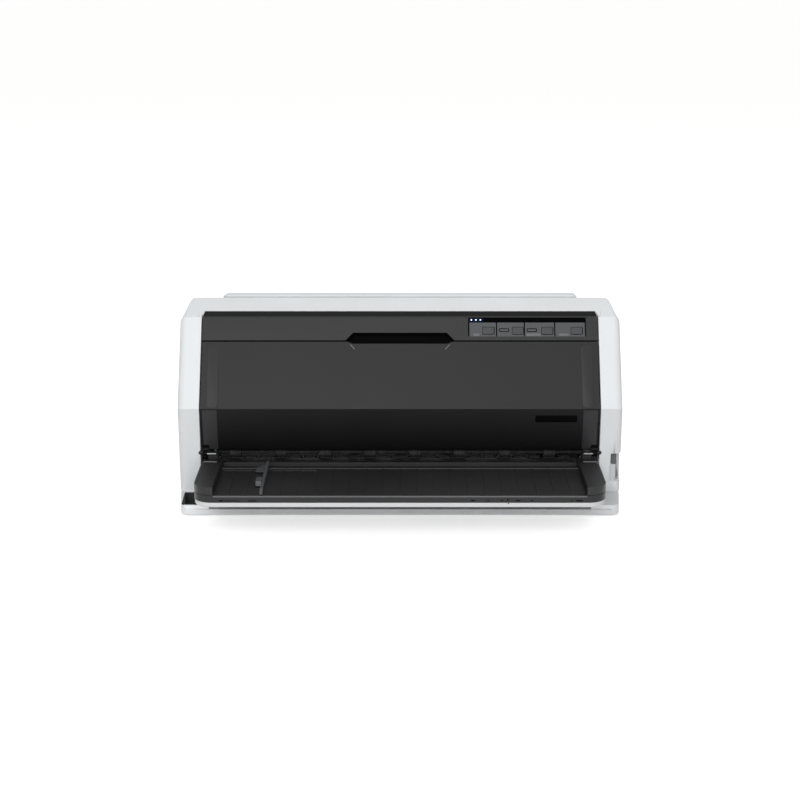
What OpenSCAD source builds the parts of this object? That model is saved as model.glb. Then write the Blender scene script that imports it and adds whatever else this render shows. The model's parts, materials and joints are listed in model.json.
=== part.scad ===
// Flat-path dot matrix printer: a white moulded casing with a dark drop-down
// front cover, a cantilevered paper table, and the whole printing mechanism
// between two steel side frames. X runs across the printer, +Y to its rear,
// +Z up. The origin is on the floor under the middle of the printer.
// Outlines named ..._profile are (Y, Z) sections carried along X.

/* [Overall size] */
// Width over the white casing
body_w = 480; // [464:1:500]
// Depth from the table's lip to the rear wall
body_d = 370; // [364:1:390]
// Height of the rear lid's crest above the floor
body_h = 210; // [204:1:222]

/* [Casing] */
// Wall of the white casing
case_wall = 3; // [2.4:0.1:3.6]
// Width of each white cheek beside the dark front
cheek_w = 24; // [22:0.5:28]
// How far the prow line lies in front of the origin
prow_y = -66; // [-70:0.5:-64]
// Height of the prow line, where the front face breaks
prow_z = 110; // [104:0.5:116]
// Where the front face meets the top
brow_y = -15.5; // [-20:0.5:-10]
// Where the top begins to fall towards the rear
crest_y = 77; // [74:0.5:80]
// Fall of the top from its crest to the rear wall
tail_drop = 40; // [34:0.5:46]
// Height of the casing's bottom edge
skirt_z = 15; // [13:0.5:18]
// Front of the legs at the casing's bottom edge
skirt_y = -58; // [-60:0.5:-56]
// Length of one ventilation slot
vent_len = 32; // [20:1:40]
// Ventilation slots on each side
vent_count = 9; // [5:1:11]

/* [Base] */
// Wall and floor of the base pan
pan_wall = 3; // [2.4:0.1:4]
// How far the base pan's front stands out of the legs
pan_nose = 41; // [36:0.5:46]
// Height of the nose in its middle, under the paper
nose_z = 8; // [6.5:0.5:9]
// Height of the nose's front edge at both ends
nose_end_z = 11.5; // [10:0.5:12.5]
// Height of the rubber feet
foot_h = 1.5; // [1.5:0.5:4]
// Radius of the rubber feet
foot_r = 10; // [8:0.5:14]

/* [Front] */
// Height of the dark strip above the cover, along the face
strip_h = 27; // [25:0.5:30]
// Wall of the dark strip and of the cover
skin_t = 2.6; // [2.2:0.1:3]
// Depth of the dark strip on the top
strip_top = 26; // [22:0.5:30]
// Seam between the strip and the cover
seam = 1.4; // [1:0.1:2]
// Half width of the finger notch at its roof
notch_hw = 51; // [40:1:60]
// Height of the finger notch in the strip
notch_h = 8.5; // [6:0.5:10]
// Height of the cover's bottom edge
cover_z = 62; // [60.5:0.5:64]
// Radius of the cover's hinge pins
hinge_r = 2.5; // [2:0.1:3]

/* [Control panel] */
// Width of the control panel
panel_w = 128; // [120:1:136]
// Height of the control panel
panel_h = 21; // [20:0.5:22]
// Distance from the panel to the strip's right end
panel_edge = 12.8; // [10:0.2:18]
// Width of a button
button_w = 12; // [9:0.5:14]
// Height of a button
button_h = 7.6; // [6:0.2:9]
// Distance from one button to the next
button_pitch = 32; // [28:0.5:33]
// Travel of a button
button_travel = 0.6; // [0.4:0.1:0.7]

/* [Paper table] */
// Gap from the table to the cheek on each side
table_gap = 5; // [4:0.5:8]
// Radius of the table's front corners
table_corner = 20; // [14:1:26]
// Height of the table's lip
lip_z = 49.5; // [48.5:0.1:50]
// Thickness of the dark table plate at its lip
plate_t = 7.5; // [6:0.5:9]
// Height of the white shell under the table
shell_h = 5; // [4:0.5:7]
// Width of each raised end cap
cap_w = 21; // [16:0.5:22]
// Distance from one rib to the next on the table
rib_pitch = 17.5; // [14:0.5:24]
// Distance of the edge guide from the left edge of the paper path
guide_inset = 47; // [42:1:60]

/* [Mechanism] */
// Height of the paper's path
paper_z = 52; // [51.5:0.1:53]
// Radius of the platen
platen_r = 14; // [13:0.5:15]
// Station of the platen along Y
platen_y = 5; // [3:0.5:7]
// Radius of the feed rollers
feed_r = 8; // [7:0.5:8.5]
// Station of the front feed rollers
front_feed_y = -48; // [-49:0.5:-46]
// Station of the rear feed rollers
rear_feed_y = 62; // [60:0.5:64]
// Station of the tractor drive shaft
tractor_y = 112; // [110:0.5:113]
// Width of a feed roller
roller_w = 12; // [9:0.5:13]
// Distance from one feed roller to the next
roller_pitch = 16.3; // [15:0.1:22]
// Radius of the pinch rollers
pinch_r = 5; // [4:0.5:5.5]
// Radius of the carriage guide shaft
guide_r = 6; // [5:0.5:7]
// Radius of the belt pulleys
pulley_r = 9; // [7:0.5:10]
// Thickness of the steel side frames
frame_t = 1.6; // [1.2:0.1:2.4]
// Gear module
gear_m = 1; // [0.98:0.01:1.02]
// Face width of the gears
gear_w = 6; // [4:0.5:7]
// Radius of the print head
head_r = 20; // [17:0.5:22]
// Cooling fins on the print head
fin_count = 6; // [4:1:7]

/* [Fits] */
// Radial clearance of a running fit
running = 0.05; // [0.03:0.01:0.08]
// Gap between pieces that move past each other
pass_gap = 0.4; // [0.3:0.1:0.6]
// Gap around the cover
cover_gap = 1; // [0.8:0.1:1.4]

/* [Hidden] */
$fn = 48;
eps = 0.01;
front_y = -body_d / 2;
rear_y = body_d / 2;
half_w = body_w / 2;
lid_rise = 5;
crest_z = body_h - lid_rise;
brow_z = crest_z - 4;
tail_z = crest_z - tail_drop;
mouth_hw = half_w - cheek_w;
lean = atan2(brow_y - prow_y, brow_z - prow_z);
face_len = norm([brow_y - prow_y, brow_z - prow_z]);
seam_s = face_len - strip_h;
tail_angle = atan2(crest_z - tail_z, rear_y - crest_y);

// Base pan
pan_front = skirt_y - pan_nose;
pan_hw = half_w - case_wall - 1;
flange_hw = half_w - 1;
pan_floor = foot_h + pan_wall;

// Cover
cover_hw = mouth_hw - cover_gap;
hinge_y = skirt_y - 2;
hinge_z = cover_z - 2;
lug_r = hinge_r + 2.5;
lug_w = 7;
lug_x = cover_hw - 1 - lug_w;

// Table
table_hw = mouth_hw - table_gap;
path_hw = table_hw - cap_w;
guide_x = -path_hw + guide_inset;
plate_z = lip_z - plate_t;
shell_z = plate_z - shell_h;
table_back = hinge_y - 12;
bar_back = skirt_y + 0.5;
step_y = table_back - 25;
slope_front = front_y + 2;
slope_rise = paper_z - lip_z;
slope_angle = atan2(slope_rise, step_y - slope_front);
bar_z = paper_z + 1.5;
groove_y = step_y - 6;
groove_w = 4;
guide_travel = 40;
cap_step_y = table_back - 33;
cap_z = hinge_z - 0.3;

// Frames and shafts
frame_x = mouth_hw - 16;
frame_out = frame_x + frame_t;
feed_z = paper_z - feed_r;
platen_z = paper_z - platen_r;
pinch_z = paper_z + pinch_r + 0.3;
rod_y = tractor_y + 30;
feed_shaft_r = 4;
platen_shaft_r = 5;
pinch_shaft_r = 2;
bush_wall = 2;
bush_len = 5;
guide_y = platen_y + 33;
guide_z = paper_z + 36;
belt_y = guide_y + 42;
belt_z = guide_z + 4;
belt_w = 6;
belt_t = 1.4;
pulley_x = frame_x - 28;
rail_y = belt_y + 8;
rail_z = guide_z + 28;
motor_w = 42;
motor_h = 24;
roller_count = floor((2 * path_hw - roller_w) / roller_pitch) + 1;
roller_x0 = -(roller_count - 1) * roller_pitch / 2;

// Gears: teeth, centres and phases, each meshed with the one before
gear_x = -frame_out - 4 - gear_w;
platen_n = 35;
front_idler_n = 28;
feed_n = 20;
rear_idler_n = 32;
tractor_idler_n = 32;
pinion_n = 16;
backlash = 0.3;
platen_c = [platen_y, platen_z];
front_feed_c = [front_feed_y, feed_z];
rear_feed_c = [rear_feed_y, feed_z];
tractor_c = [tractor_y, feed_z];
front_idler_c = meet(front_feed_c, reach(feed_n, front_idler_n), platen_c, reach(platen_n, front_idler_n), -1);
rear_idler_c = meet(platen_c, reach(platen_n, rear_idler_n), rear_feed_c, reach(rear_idler_n, feed_n), -1);
tractor_idler_c = meet(rear_feed_c, reach(feed_n, tractor_idler_n), tractor_c, reach(tractor_idler_n, feed_n), -1);
pinion_at = 70;
pinion_c = tractor_idler_c + reach(tractor_idler_n, pinion_n) * [cos(pinion_at), sin(pinion_at)];
front_idler_p = mesh_phase(platen_n, 0, front_idler_n, platen_c, front_idler_c);
front_feed_p = mesh_phase(front_idler_n, front_idler_p, feed_n, front_idler_c, front_feed_c);
rear_idler_p = mesh_phase(platen_n, 0, rear_idler_n, platen_c, rear_idler_c);
rear_feed_p = mesh_phase(rear_idler_n, rear_idler_p, feed_n, rear_idler_c, rear_feed_c);
tractor_idler_p = mesh_phase(feed_n, rear_feed_p, tractor_idler_n, rear_feed_c, tractor_idler_c);
tractor_p = mesh_phase(tractor_idler_n, tractor_idler_p, feed_n, tractor_idler_c, tractor_c);
pinion_p = mesh_phase(tractor_idler_n, tractor_idler_p, pinion_n, tractor_idler_c, pinion_c);

// Colours
white = [0.94, 0.95, 0.95];
cream = [0.8, 0.8, 0.8];
dark = [0.2, 0.2, 0.2];
black = [0.08, 0.08, 0.09];
grey = [0.35, 0.35, 0.36];
steel = [0.62, 0.63, 0.65];
alloy = [0.72, 0.72, 0.73];
rubber = [0.12, 0.12, 0.12];
gear_white = [0.86, 0.85, 0.8];
board_green = [0.1, 0.35, 0.2];

// A unit vector along v
function unit(v) = v / norm(v);

// The left-hand normal of the edge from p to q
function left_normal(p, q) = let (d = unit(q - p)) [-d.y, d.x];

// A counter-clockwise outline moved inwards by t
function inset(pts, t) = [
    for (i = [0:len(pts) - 1])
        let (
            before = pts[(i + len(pts) - 1) % len(pts)],
            after = pts[(i + 1) % len(pts)],
            a = left_normal(before, pts[i]),
            b = left_normal(pts[i], after)
        ) pts[i] + (a + b) * t / (1 + a * b)
];

// The arc of radius r that rounds the corner at p1
function corner_arc(p0, p1, p2, r, steps = 5) =
    let (
        a = unit(p0 - p1),
        b = unit(p2 - p1),
        half = acos(a * b) / 2,
        c = p1 + unit(a + b) * r / sin(half),
        s = p1 + a * r / tan(half) - c,
        e = p1 + b * r / tan(half) - c,
        from = atan2(s.y, s.x),
        sweep = (atan2(e.y, e.x) - from + 540) % 360 - 180
    ) [for (i = [0:steps]) c + r * [cos(from + sweep * i / steps), sin(from + sweep * i / steps)]];

// An outline with its corners rounded, one radius for each corner
function rounded(pts, radii) = [
    for (i = [0:len(pts) - 1])
        each radii[i] <= 0 ? [pts[i]] : corner_arc(
            pts[(i + len(pts) - 1) % len(pts)], pts[i], pts[(i + 1) % len(pts)], radii[i])
];

// Distance between the centres of two meshed gears
function reach(na, nb) = (na + nb) * gear_m / 2;

// The point at distance ra from a and rb from b
function meet(a, ra, b, rb, side) =
    let (
        d = norm(b - a),
        along = (d * d + ra * ra - rb * rb) / (2 * d),
        off = sqrt(max(0, ra * ra - along * along)),
        u = (b - a) / d
    ) a + along * u + side * off * [-u.y, u.x];

// Turn of gear b that puts its gaps on the teeth of gear a
function mesh_phase(na, phase_a, nb, ca, cb) =
    let (th = atan2(cb.y - ca.y, cb.x - ca.x))
    th + 180 - 180 / nb + (th - phase_a) * na / nb;

// Involute of an angle, in degrees
function inv(a) = tan(a) * 180 / PI - a;

// Half the angle that a tooth takes at radius r
function half_tooth(n, r) =
    let (
        rp = n * gear_m / 2,
        rb = rp * cos(20),
        a = acos(rb / max(r, rb))
    ) 90 / n - backlash / rp * 90 / PI + inv(20) - inv(a);

function polar(r, a) = r * [cos(a), sin(a)];

// Involute gear outline with n teeth
function gear_outline(n, phase) =
    let (
        rp = n * gear_m / 2,
        flank = [rp - 1.2 * gear_m, rp - 0.4 * gear_m, rp, rp + 0.45 * gear_m, rp + 0.9 * gear_m]
    ) [
        for (i = [0:n - 1])
            let (mid = phase + i * 360 / n)
            each concat(
                [for (r = flank) polar(r, mid - half_tooth(n, r))],
                [for (k = [len(flank) - 1:-1:0]) polar(flank[k], mid + half_tooth(n, flank[k]))])
    ];

// Height of the casing's falling top at station y
function tail_at(y) = crest_z - (y - crest_y) * tan(tail_angle);

// Height of the table's sloping surface at station y
function table_at(y) = lip_z + (y - slope_front) * tan(slope_angle);

// Carries a (Y, Z) outline along X from x0 to x1
module along_x(x0, x1) {
    translate([x0, 0, 0])
        rotate([90, 0, 90])
            linear_extrude(x1 - x0)
                children();
}

// Puts its children on both sides of the printer
module both_sides() {
    children();
    mirror([1, 0, 0])
        children();
}

// A cylinder along X from x0 to x1 round the (Y, Z) centre c
module rod_x(c, r, x0, x1) {
    translate([x0, c.x, c.y])
        rotate([0, 90, 0])
            cylinder(r = r, h = x1 - x0);
}

// A rod across from front to back at c = [x, z]
module rod_y(c, r, y0, y1) {
    translate([c.x, y1, c.y])
        rotate([90, 0, 0])
            cylinder(r = r, h = y1 - y0);
}

// A box from corner a to corner b
module box(a, b) {
    translate(a)
        cube(b - a);
}

// Places its children on the sloping front face, +Z outwards, s up from the prow
module on_face(x, s) {
    translate([x, prow_y + s * sin(lean), prow_z + s * cos(lean)])
        rotate([90 - lean, 0, 0])
            children();
}

// A gear on the left side, with a hub and a bore
module gear(n, centre, phase, bore) {
    difference() {
        union() {
            along_x(gear_x, gear_x + gear_w)
                translate(centre)
                    polygon(gear_outline(n, phase));
            rod_x(centre, bore + 2, gear_x - 0.8, gear_x + gear_w + 0.8);
        }
        rod_x(centre, bore, gear_x - 1, gear_x + gear_w + 1);
    }
}

// Lightening holes in the web of a gear
module gear_windows(n, centre) {
    web = n * gear_m / 2;
    for (a = [0:60:300])
        rod_x(centre + polar(web * 0.62, a), web * 0.17, gear_x - 1, gear_x + gear_w + 1);
}

// ---------- White casing ----------

case_profile = [
    [skirt_y, skirt_z], [rear_y, skirt_z], [rear_y, tail_z],
    [crest_y, crest_z], [brow_y, brow_z], [prow_y, prow_z]
];
case_radii = [0, 0, 9, 5, 1.5, 1.5];
mouth_back = brow_y + strip_top;
rear_mouth_hw = path_hw + 5;
rear_mouth_z0 = feed_z + 1;
rear_mouth_z1 = rear_mouth_z0 + 38;
lid_hw = path_hw + 12;
lid_front = crest_y + 3;
lid_back = rear_y - 12;
lid_slot = 12;
pocket_x = half_w - 12;
pocket_y = skirt_y + 15;
pocket_z0 = skirt_z + 12;
pocket_z1 = cover_z - 3;
port_z = skirt_z + 14;
inlet_x = half_w - 76;
inlet_w = 27;
inlet_h = 20;
parallel_x = -half_w + 134;
usb_x = -half_w + 78;

module case_shell() {
    difference() {
        along_x(-half_w, half_w)
            polygon(rounded(case_profile, case_radii));
        intersection() {
            along_x(-half_w + case_wall, half_w - case_wall)
                polygon(inset(case_profile, case_wall));
            box([-half_w, front_y, 0], [half_w, rear_y, body_h]);
        }
        box([-half_w + case_wall, skirt_y + 2 * case_wall, skirt_z - 1],
            [half_w - case_wall, rear_y - case_wall, skirt_z + case_wall + 1]);
    }
}

// The wall that closes each cheek towards the dark front
module cheek_wall() {
    intersection() {
        along_x(mouth_hw, mouth_hw + case_wall)
            polygon(case_profile);
        box([mouth_hw, prow_y - 1, skirt_z], [half_w, mouth_back + case_wall, body_h]);
    }
    box([mouth_hw, skirt_y + case_wall / 2, skirt_z], [half_w - case_wall / 2, skirt_y + 2 * case_wall, skirt_z + case_wall]);
}

// Pocket for the power switch in the right leg
module switch_pocket(grow) {
    box([pocket_x - grow, prow_y - 5, pocket_z0 - grow], [half_w + 1 - grow, pocket_y + grow, pocket_z1 + grow]);
}

module upper_casing() {
    color(white)
    difference() {
        union() {
            difference() {
                case_shell();
                box([-mouth_hw, prow_y - 5, skirt_z - 1], [mouth_hw, mouth_back, body_h]);
            }
            both_sides()
                cheek_wall();
            intersection() {
                switch_pocket(case_wall);
                along_x(0, half_w)
                    polygon(case_profile);
            }
            // Ears for the rear lid's rod
            both_sides()
                along_x(lid_hw + pass_gap, lid_hw + pass_gap + 6)
                    lid_barrel();
            // Inner lip that the dark strip's tab rests against
            box([-mouth_hw - 1, mouth_back, brow_z - 2 * case_wall - 4],
                [mouth_hw + 1, mouth_back + case_wall, brow_z - case_wall / 2]);
        }
        switch_pocket(0);
        // Opening under the rear lid
        along_x(-lid_hw + lid_slot, lid_hw - lid_slot)
            polygon([
                [lid_front + 10, crest_z - 40], [lid_back - 12, crest_z - 60],
                [lid_back - 12, tail_at(lid_back - 12) + 2], [lid_front + 10, tail_at(lid_front + 10) + 2]
            ]);
        rod_x(lid_rod_c, lid_rod_r, -half_w + 1, half_w - 1);
        // Rear paper mouth
        box([-rear_mouth_hw, rear_y - 2 * case_wall, rear_mouth_z0], [rear_mouth_hw, rear_y + 1, rear_mouth_z1]);
        // Ports in the rear wall
        box([inlet_x - inlet_w / 2, rear_y - 2 * case_wall, port_z - inlet_h / 2],
            [inlet_x + inlet_w / 2, rear_y + 1, port_z + inlet_h / 2]);
        box([parallel_x - 30, rear_y - 2 * case_wall, port_z - 7], [parallel_x + 30, rear_y + 1, port_z + 7]);
        box([usb_x - 6, rear_y - 2 * case_wall, port_z - 5.5], [usb_x + 6, rear_y + 1, port_z + 5.5]);
        // Holes that the cover's pins turn in
        both_sides()
            rod_x([hinge_y, hinge_z], hinge_r, mouth_hw - 1, mouth_hw + case_wall - 1);
        // Ventilation slots low on both sides
        both_sides()
            for (i = [0:vent_count - 1])
                box([half_w - case_wall - 1, rear_y - 30 - i * 9, skirt_z + 10],
                    [half_w + 1, rear_y - 26.5 - i * 9, skirt_z + 10 + vent_len]);
    }
}

// ---------- Base ----------

// Plan of the nose, which narrows a little towards its rounded front corners
nose_corner = 9;
nose_hw = pan_hw - 2;
well_wall = 4;
module nose_plan() {
    polygon(rounded([
        [-flange_hw, skirt_y + 1], [flange_hw, skirt_y + 1], [nose_hw, pan_front], [-nose_hw, pan_front]
    ], [0, 0, nose_corner, nose_corner]));
}

module base_pan() {
    end_x = table_hw - 7;
    nose_back = skirt_y + 1;
    color(cream)
    difference() {
        union() {
            box([-pan_hw, nose_back - eps, foot_h], [pan_hw, rear_y - 1, skirt_z]);
            box([-flange_hw, nose_back, skirt_z - 3], [flange_hw, rear_y - 0.5, skirt_z]);
            // Nose: a low sill for the paper between two raised ends
            translate([0, 0, foot_h])
                linear_extrude(nose_z - foot_h)
                    nose_plan();
            both_sides()
                intersection() {
                    along_x(end_x, half_w)
                        polygon(rounded([[pan_front, foot_h], [nose_back, foot_h], [nose_back, skirt_z],
                                         [pan_front, nose_end_z]], [1, 0, 0, 4]));
                    linear_extrude(body_h)
                        nose_plan();
                }
        }
        box([-pan_hw + pan_wall, nose_back + pan_wall, pan_floor],
            [pan_hw - pan_wall, rear_y - 1 - pan_wall, skirt_z + 1]);
        // Well beside the table on the left
        box([-nose_hw + well_wall, pan_front + well_wall, pan_floor], [-table_hw + 7, nose_back - pan_wall, skirt_z + 1]);
        for (x = [-1, 1], y = [pan_front + 26, rear_y - 34])
            translate([x * (pan_hw - 34), y, foot_h - 1])
                cylinder(r = foot_r + 0.2, h = 2);
    }
}

module rubber_feet() {
    color(rubber)
    for (x = [-1, 1], y = [pan_front + 26, rear_y - 34])
        translate([x * (pan_hw - 34), y, 0])
            difference() {
                cylinder(r = foot_r, h = foot_h + 1);
                translate([0, 0, -1])
                    cylinder(r = foot_r / 3, h = 2);
            }
}

// ---------- Dark front ----------

// The strip's section: down the face, over the brow and back along the top
function strip_at(s, t) = [prow_y + s * sin(lean) + t * cos(lean), prow_z + s * cos(lean) - t * sin(lean)];
top_rise = atan2(crest_z - brow_z, crest_y - brow_y);
strip_back = [mouth_back - 0.4, brow_z + (mouth_back - 0.4 - brow_y) * tan(top_rise)];
strip_profile = [
    strip_at(seam_s, skin_t), [brow_y + skin_t, brow_z - skin_t * 1.4],
    strip_back - [0, skin_t], strip_back, [brow_y + 1, brow_z], strip_at(face_len - 1, 0), strip_at(seam_s, 0)
];
panel_x = mouth_hw - panel_edge - panel_w / 2 - cover_gap;
panel_s = face_len - 1.1 - panel_h / 2;
button_s = panel_s - 4.6;
button_x0 = panel_x + 5.8 - 1.5 * button_pitch;
lamp_x = [-60.5, -55.6, -50.7];
lamp_s = panel_h / 2 - 2.7;
plate_d = 1.2;
board_d = 9;

module notch_outline(low, high) {
    flare = notch_h + 0.6;
    polygon([[-notch_hw - flare, low], [notch_hw + flare, low], [notch_hw, high], [-notch_hw, high]]);
}

module front_fascia() {
    color(dark)
    difference() {
        union() {
            along_x(-cover_hw, cover_hw)
                polygon(strip_profile);
            // Walls of the finger recess
            difference() {
                on_face(0, seam_s)
                    translate([0, 0, -12])
                        linear_extrude(12 - eps)
                            notch_outline(0, notch_h + 2);
                on_face(0, seam_s)
                    translate([0, 0, -10])
                        linear_extrude(12)
                            notch_outline(-1, notch_h);
            }
            // Tab that lies under the casing's top
            box([-cover_hw + 20, mouth_back - 8, brow_z - 2 * case_wall - 4], [cover_hw - 20, mouth_back, brow_z - 1]);
            // Posts for the panel's board
            for (x = [-1, 1])
                on_face(panel_x + x * (panel_w / 2 - 3), panel_s + 4)
                    translate([0, 0, -board_d])
                        cylinder(r = 2.5, h = board_d - 1);
        }
        on_face(0, seam_s)
            translate([0, 0, -10])
                linear_extrude(12)
                    notch_outline(-1, notch_h);
        // Seat of the control panel
        on_face(panel_x, panel_s)
            translate([-panel_w / 2, -panel_h / 2, -plate_d])
                cube([panel_w, panel_h, 5]);
        // Window for the buttons
        on_face(button_x0, button_s)
            translate([-button_w / 2 - 2, -button_h / 2 - 1.2, -6])
                cube([3 * button_pitch + button_w + 4, button_h + 2.4, 8]);
        for (x = lamp_x)
            on_face(panel_x + x, panel_s + lamp_s)
                translate([0, 0, -6])
                    cylinder(r = 1.2, h = 8);
        // Open underside of the tab's block
        box([-cover_hw + 24, mouth_back - 12, brow_z - 4 * case_wall], [cover_hw - 24, mouth_back - 3, brow_z - case_wall]);
    }
}

module button_panel() {
    color(black)
    on_face(panel_x, panel_s)
    difference() {
        translate([-panel_w / 2 + 0.1, -panel_h / 2 + 0.1, -plate_d])
            cube([panel_w - 0.2, panel_h - 0.2, plate_d]);
        for (k = [0:3])
            translate([button_x0 - panel_x + k * button_pitch - button_w / 2 - pass_gap,
                       button_s - panel_s - button_h / 2 - pass_gap, -plate_d - 1])
                cube([button_w + 2 * pass_gap, button_h + 2 * pass_gap, plate_d + 2]);
        for (x = lamp_x)
            translate([x, lamp_s, -plate_d - 1])
                cylinder(r = 0.95, h = plate_d + 2);
    }
}

// One button: a cap through the panel, a flange under it and a stem
module button(k) {
    color(grey)
    on_face(button_x0 + k * button_pitch, button_s) {
        translate([-button_w / 2, -button_h / 2, -plate_d - 1.6])
            cube([button_w, button_h, plate_d + 1.6 + button_travel + 0.2]);
        translate([-button_w / 2 - 1.5, -button_h / 2 - 0.8, -plate_d - 1.6 - pass_gap])
            cube([button_w + 3, button_h + 1.6, 1.4]);
        translate([0, 0, -board_d + 3 + button_travel + 0.1])
            cylinder(r = 2, h = board_d - 6);
    }
}

module tear_off_button() button(0);
module line_feed_button() button(1);
module load_eject_button() button(2);
module pause_button() button(3);

module status_lamps() {
    color([0.45, 0.65, 0.9])
    for (x = lamp_x)
        on_face(panel_x + x, panel_s + lamp_s)
            translate([0, 0, -board_d])
                cylinder(r = 0.9, h = board_d);
}

module panel_board() {
    color(board_green) {
        on_face(panel_x, panel_s - 1)
            translate([-panel_w / 2 + 0.5, -panel_h / 2 + 1, -board_d - 1.6])
                cube([panel_w - 1, panel_h, 1.6]);
        for (k = [0:3])
            on_face(button_x0 + k * button_pitch, button_s)
                translate([-3, -3, -board_d])
                    cube([6, 6, 3]);
    }
}

// The cover's section: the sloping face, the prow and the lower face
cover_top = seam_s - seam;
cover_outer = [[skirt_y, cover_z], [prow_y, prow_z], strip_at(cover_top, 0)];
cover_profile = [
    [skirt_y, cover_z], [skirt_y + skin_t, cover_z], [prow_y + skin_t * 1.06, prow_z - 0.3],
    strip_at(cover_top, skin_t), strip_at(cover_top, 0), [prow_y, prow_z]
];

// Moulded end rib of the cover, deeper at the prow
cover_rib = [
    [skirt_y, cover_z], [skirt_y + 7, cover_z + 1], [prow_y + 15, prow_z],
    strip_at(cover_top - 6, 9), strip_at(cover_top, 4), strip_at(cover_top, 0), [prow_y, prow_z]
];

module front_cover() {
    color(dark)
    difference() {
        union() {
            along_x(-cover_hw, cover_hw)
                polygon(cover_profile);
            both_sides() {
                along_x(cover_hw - skin_t, cover_hw)
                    polygon(cover_rib);
                along_x(cover_hw - 19, cover_hw - 19 + skin_t * 0.7)
                    polygon(cover_rib);
                // Hinge lug
                difference() {
                    union() {
                        rod_x([hinge_y, hinge_z], lug_r, lug_x, lug_x + lug_w);
                        along_x(lug_x, lug_x + lug_w)
                            polygon([[hinge_y - 3, hinge_z], [hinge_y + lug_r, hinge_z], [skirt_y + 5, cover_z + 8], [skirt_y - 0.5, cover_z + 8]]);
                    }
                    rod_x([hinge_y, hinge_z], hinge_r + running, lug_x - 1, lug_x + lug_w + 1);
                }
            }
            // Finger lip behind the notch
            on_face(0, cover_top)
                translate([-notch_hw, -6, -9])
                    cube([2 * notch_hw, 2, 8]);
        }
        // The notch's lower edge
        on_face(0, cover_top)
            translate([0, 0, -skin_t - 0.5])
                linear_extrude(skin_t + 1)
                    polygon([[-notch_hw, -2.2], [notch_hw, -2.2], [notch_hw + 8, 1], [-notch_hw - 8, 1]]);
        both_sides()
            rod_x([hinge_y, hinge_z], hinge_r + running, lug_x - 1, mouth_hw + 1);
    }
}

// Hinge blocks with the pins that the cover's lugs turn on
module cover_hinges() {
    color(dark)
    both_sides() {
        along_x(frame_x - 3.5, frame_x + 6.5)
            polygon([[table_back + 0.3, paper_z - 2], [hinge_y - 2, paper_z - 2], [skirt_y + 4, hinge_z - 3.5],
                     [skirt_y + 4, hinge_z - 0.5], [hinge_y - 0.5, hinge_z + 1.4], [hinge_y - 6, hinge_z + 1.4],
                     [table_back + 0.3, hinge_z - 2]]);
        rod_x([hinge_y, hinge_z], hinge_r, frame_x + 6, mouth_hw + case_wall - 1);
    }
}

// ---------- Rear lid ----------

lid_rod_r = 1.5;
lid_rod_c = [lid_back, tail_at(lid_back) + 3.4];

// Round end of the lid about its rod, with a foot on the casing for the ears
module lid_barrel() {
    translate(lid_rod_c)
        circle(r = 3);
    translate(lid_rod_c)
        rotate(-tail_angle)
            translate([-3, -4.4])
                square([6, 4.4]);
}

lid_profile = [
    [lid_front, tail_at(lid_front) + 0.4], [lid_front + 2.5, tail_at(lid_front + 2.5) + 0.4],
    [lid_front + 2.5, tail_at(lid_front + 2.5) + 3.6], lid_rod_c + [-1, -0.6], lid_rod_c + [1.1, 2.8],
    [lid_front + 2, body_h - 0.2], [lid_front, body_h - 2]
];

module rear_lid() {
    color(white)
    difference() {
        union() {
            along_x(-lid_hw + 3, lid_hw - 3)
                polygon(lid_profile);
            along_x(-lid_hw, lid_hw)
                translate(lid_rod_c)
                    circle(r = 3);
            both_sides()
                along_x(lid_hw - 3, lid_hw)
                    polygon([
                        [lid_front, tail_at(lid_front) + 0.4], [lid_back, tail_at(lid_back) + 0.7],
                        lid_rod_c + [1.1, 2.4], [lid_front + 2, body_h - 2.5], [lid_front, body_h - 4]
                    ]);
        }
        rod_x(lid_rod_c, lid_rod_r + running, -lid_hw - 1, lid_hw + 1);
    }
}

module lid_hinge_rod() {
    color(steel)
    rod_x(lid_rod_c, lid_rod_r, -lid_hw - pass_gap - 5, lid_hw + pass_gap + 5);
}

// ---------- Power switch ----------

// The rocker faces sideways in the leg's pocket: its pivot at [x, z], its length up the leg
switch_out = half_w - 5.5;
switch_y = [skirt_y + 1, pocket_y];
rocker_y = switch_y + [1.6, -1.6];
rocker_c = [switch_out - 1.5, (pocket_z0 + pocket_z1) / 2];
rocker_len = pocket_z1 - pocket_z0 - 6;

module power_switch_bezel() {
    color(cream)
    difference() {
        box([pocket_x, switch_y[0], pocket_z0], [switch_out, switch_y[1], pocket_z1]);
        box([pocket_x + 1.4, rocker_y[0] - pass_gap, rocker_c.y - rocker_len / 2 - pass_gap],
            [half_w, rocker_y[1] + pass_gap, rocker_c.y + rocker_len / 2 + pass_gap]);
        rod_y(rocker_c, 1 + running, switch_y[0] + 0.4, switch_y[1] - 0.4);
    }
}

module power_rocker() {
    color(grey)
    translate([0, rocker_y[1], 0])
        rotate([90, 0, 0])
            linear_extrude(rocker_y[1] - rocker_y[0])
                translate(rocker_c)
                    polygon([
                        [-2.4, -4], [-0.5, -rocker_len / 2 + 0.6], [2.6, -rocker_len / 2 + 0.3],
                        [5, -rocker_len / 2 + 1.6], [2.8, 0], [2.4, rocker_len / 2 - 0.8], [0.4, rocker_len / 2 - 0.5], [-2.4, 4]
                    ]);
    color(grey)
    rod_y(rocker_c, 1, rocker_y[0] - 1.1, rocker_y[1] + 1.1);
}

// ---------- Paper table ----------

// Plan of the table with rounded front corners
module table_plan(t) {
    translate([-table_hw + t, front_y + table_corner])
        square([2 * (table_hw - t), table_back - front_y - table_corner - t]);
    translate([-table_hw + table_corner, front_y + t])
        square([2 * (table_hw - table_corner), table_corner]);
    for (x = [-1, 1])
        translate([x * (table_hw - table_corner), front_y + table_corner])
            circle(r = table_corner - t);
}

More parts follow.
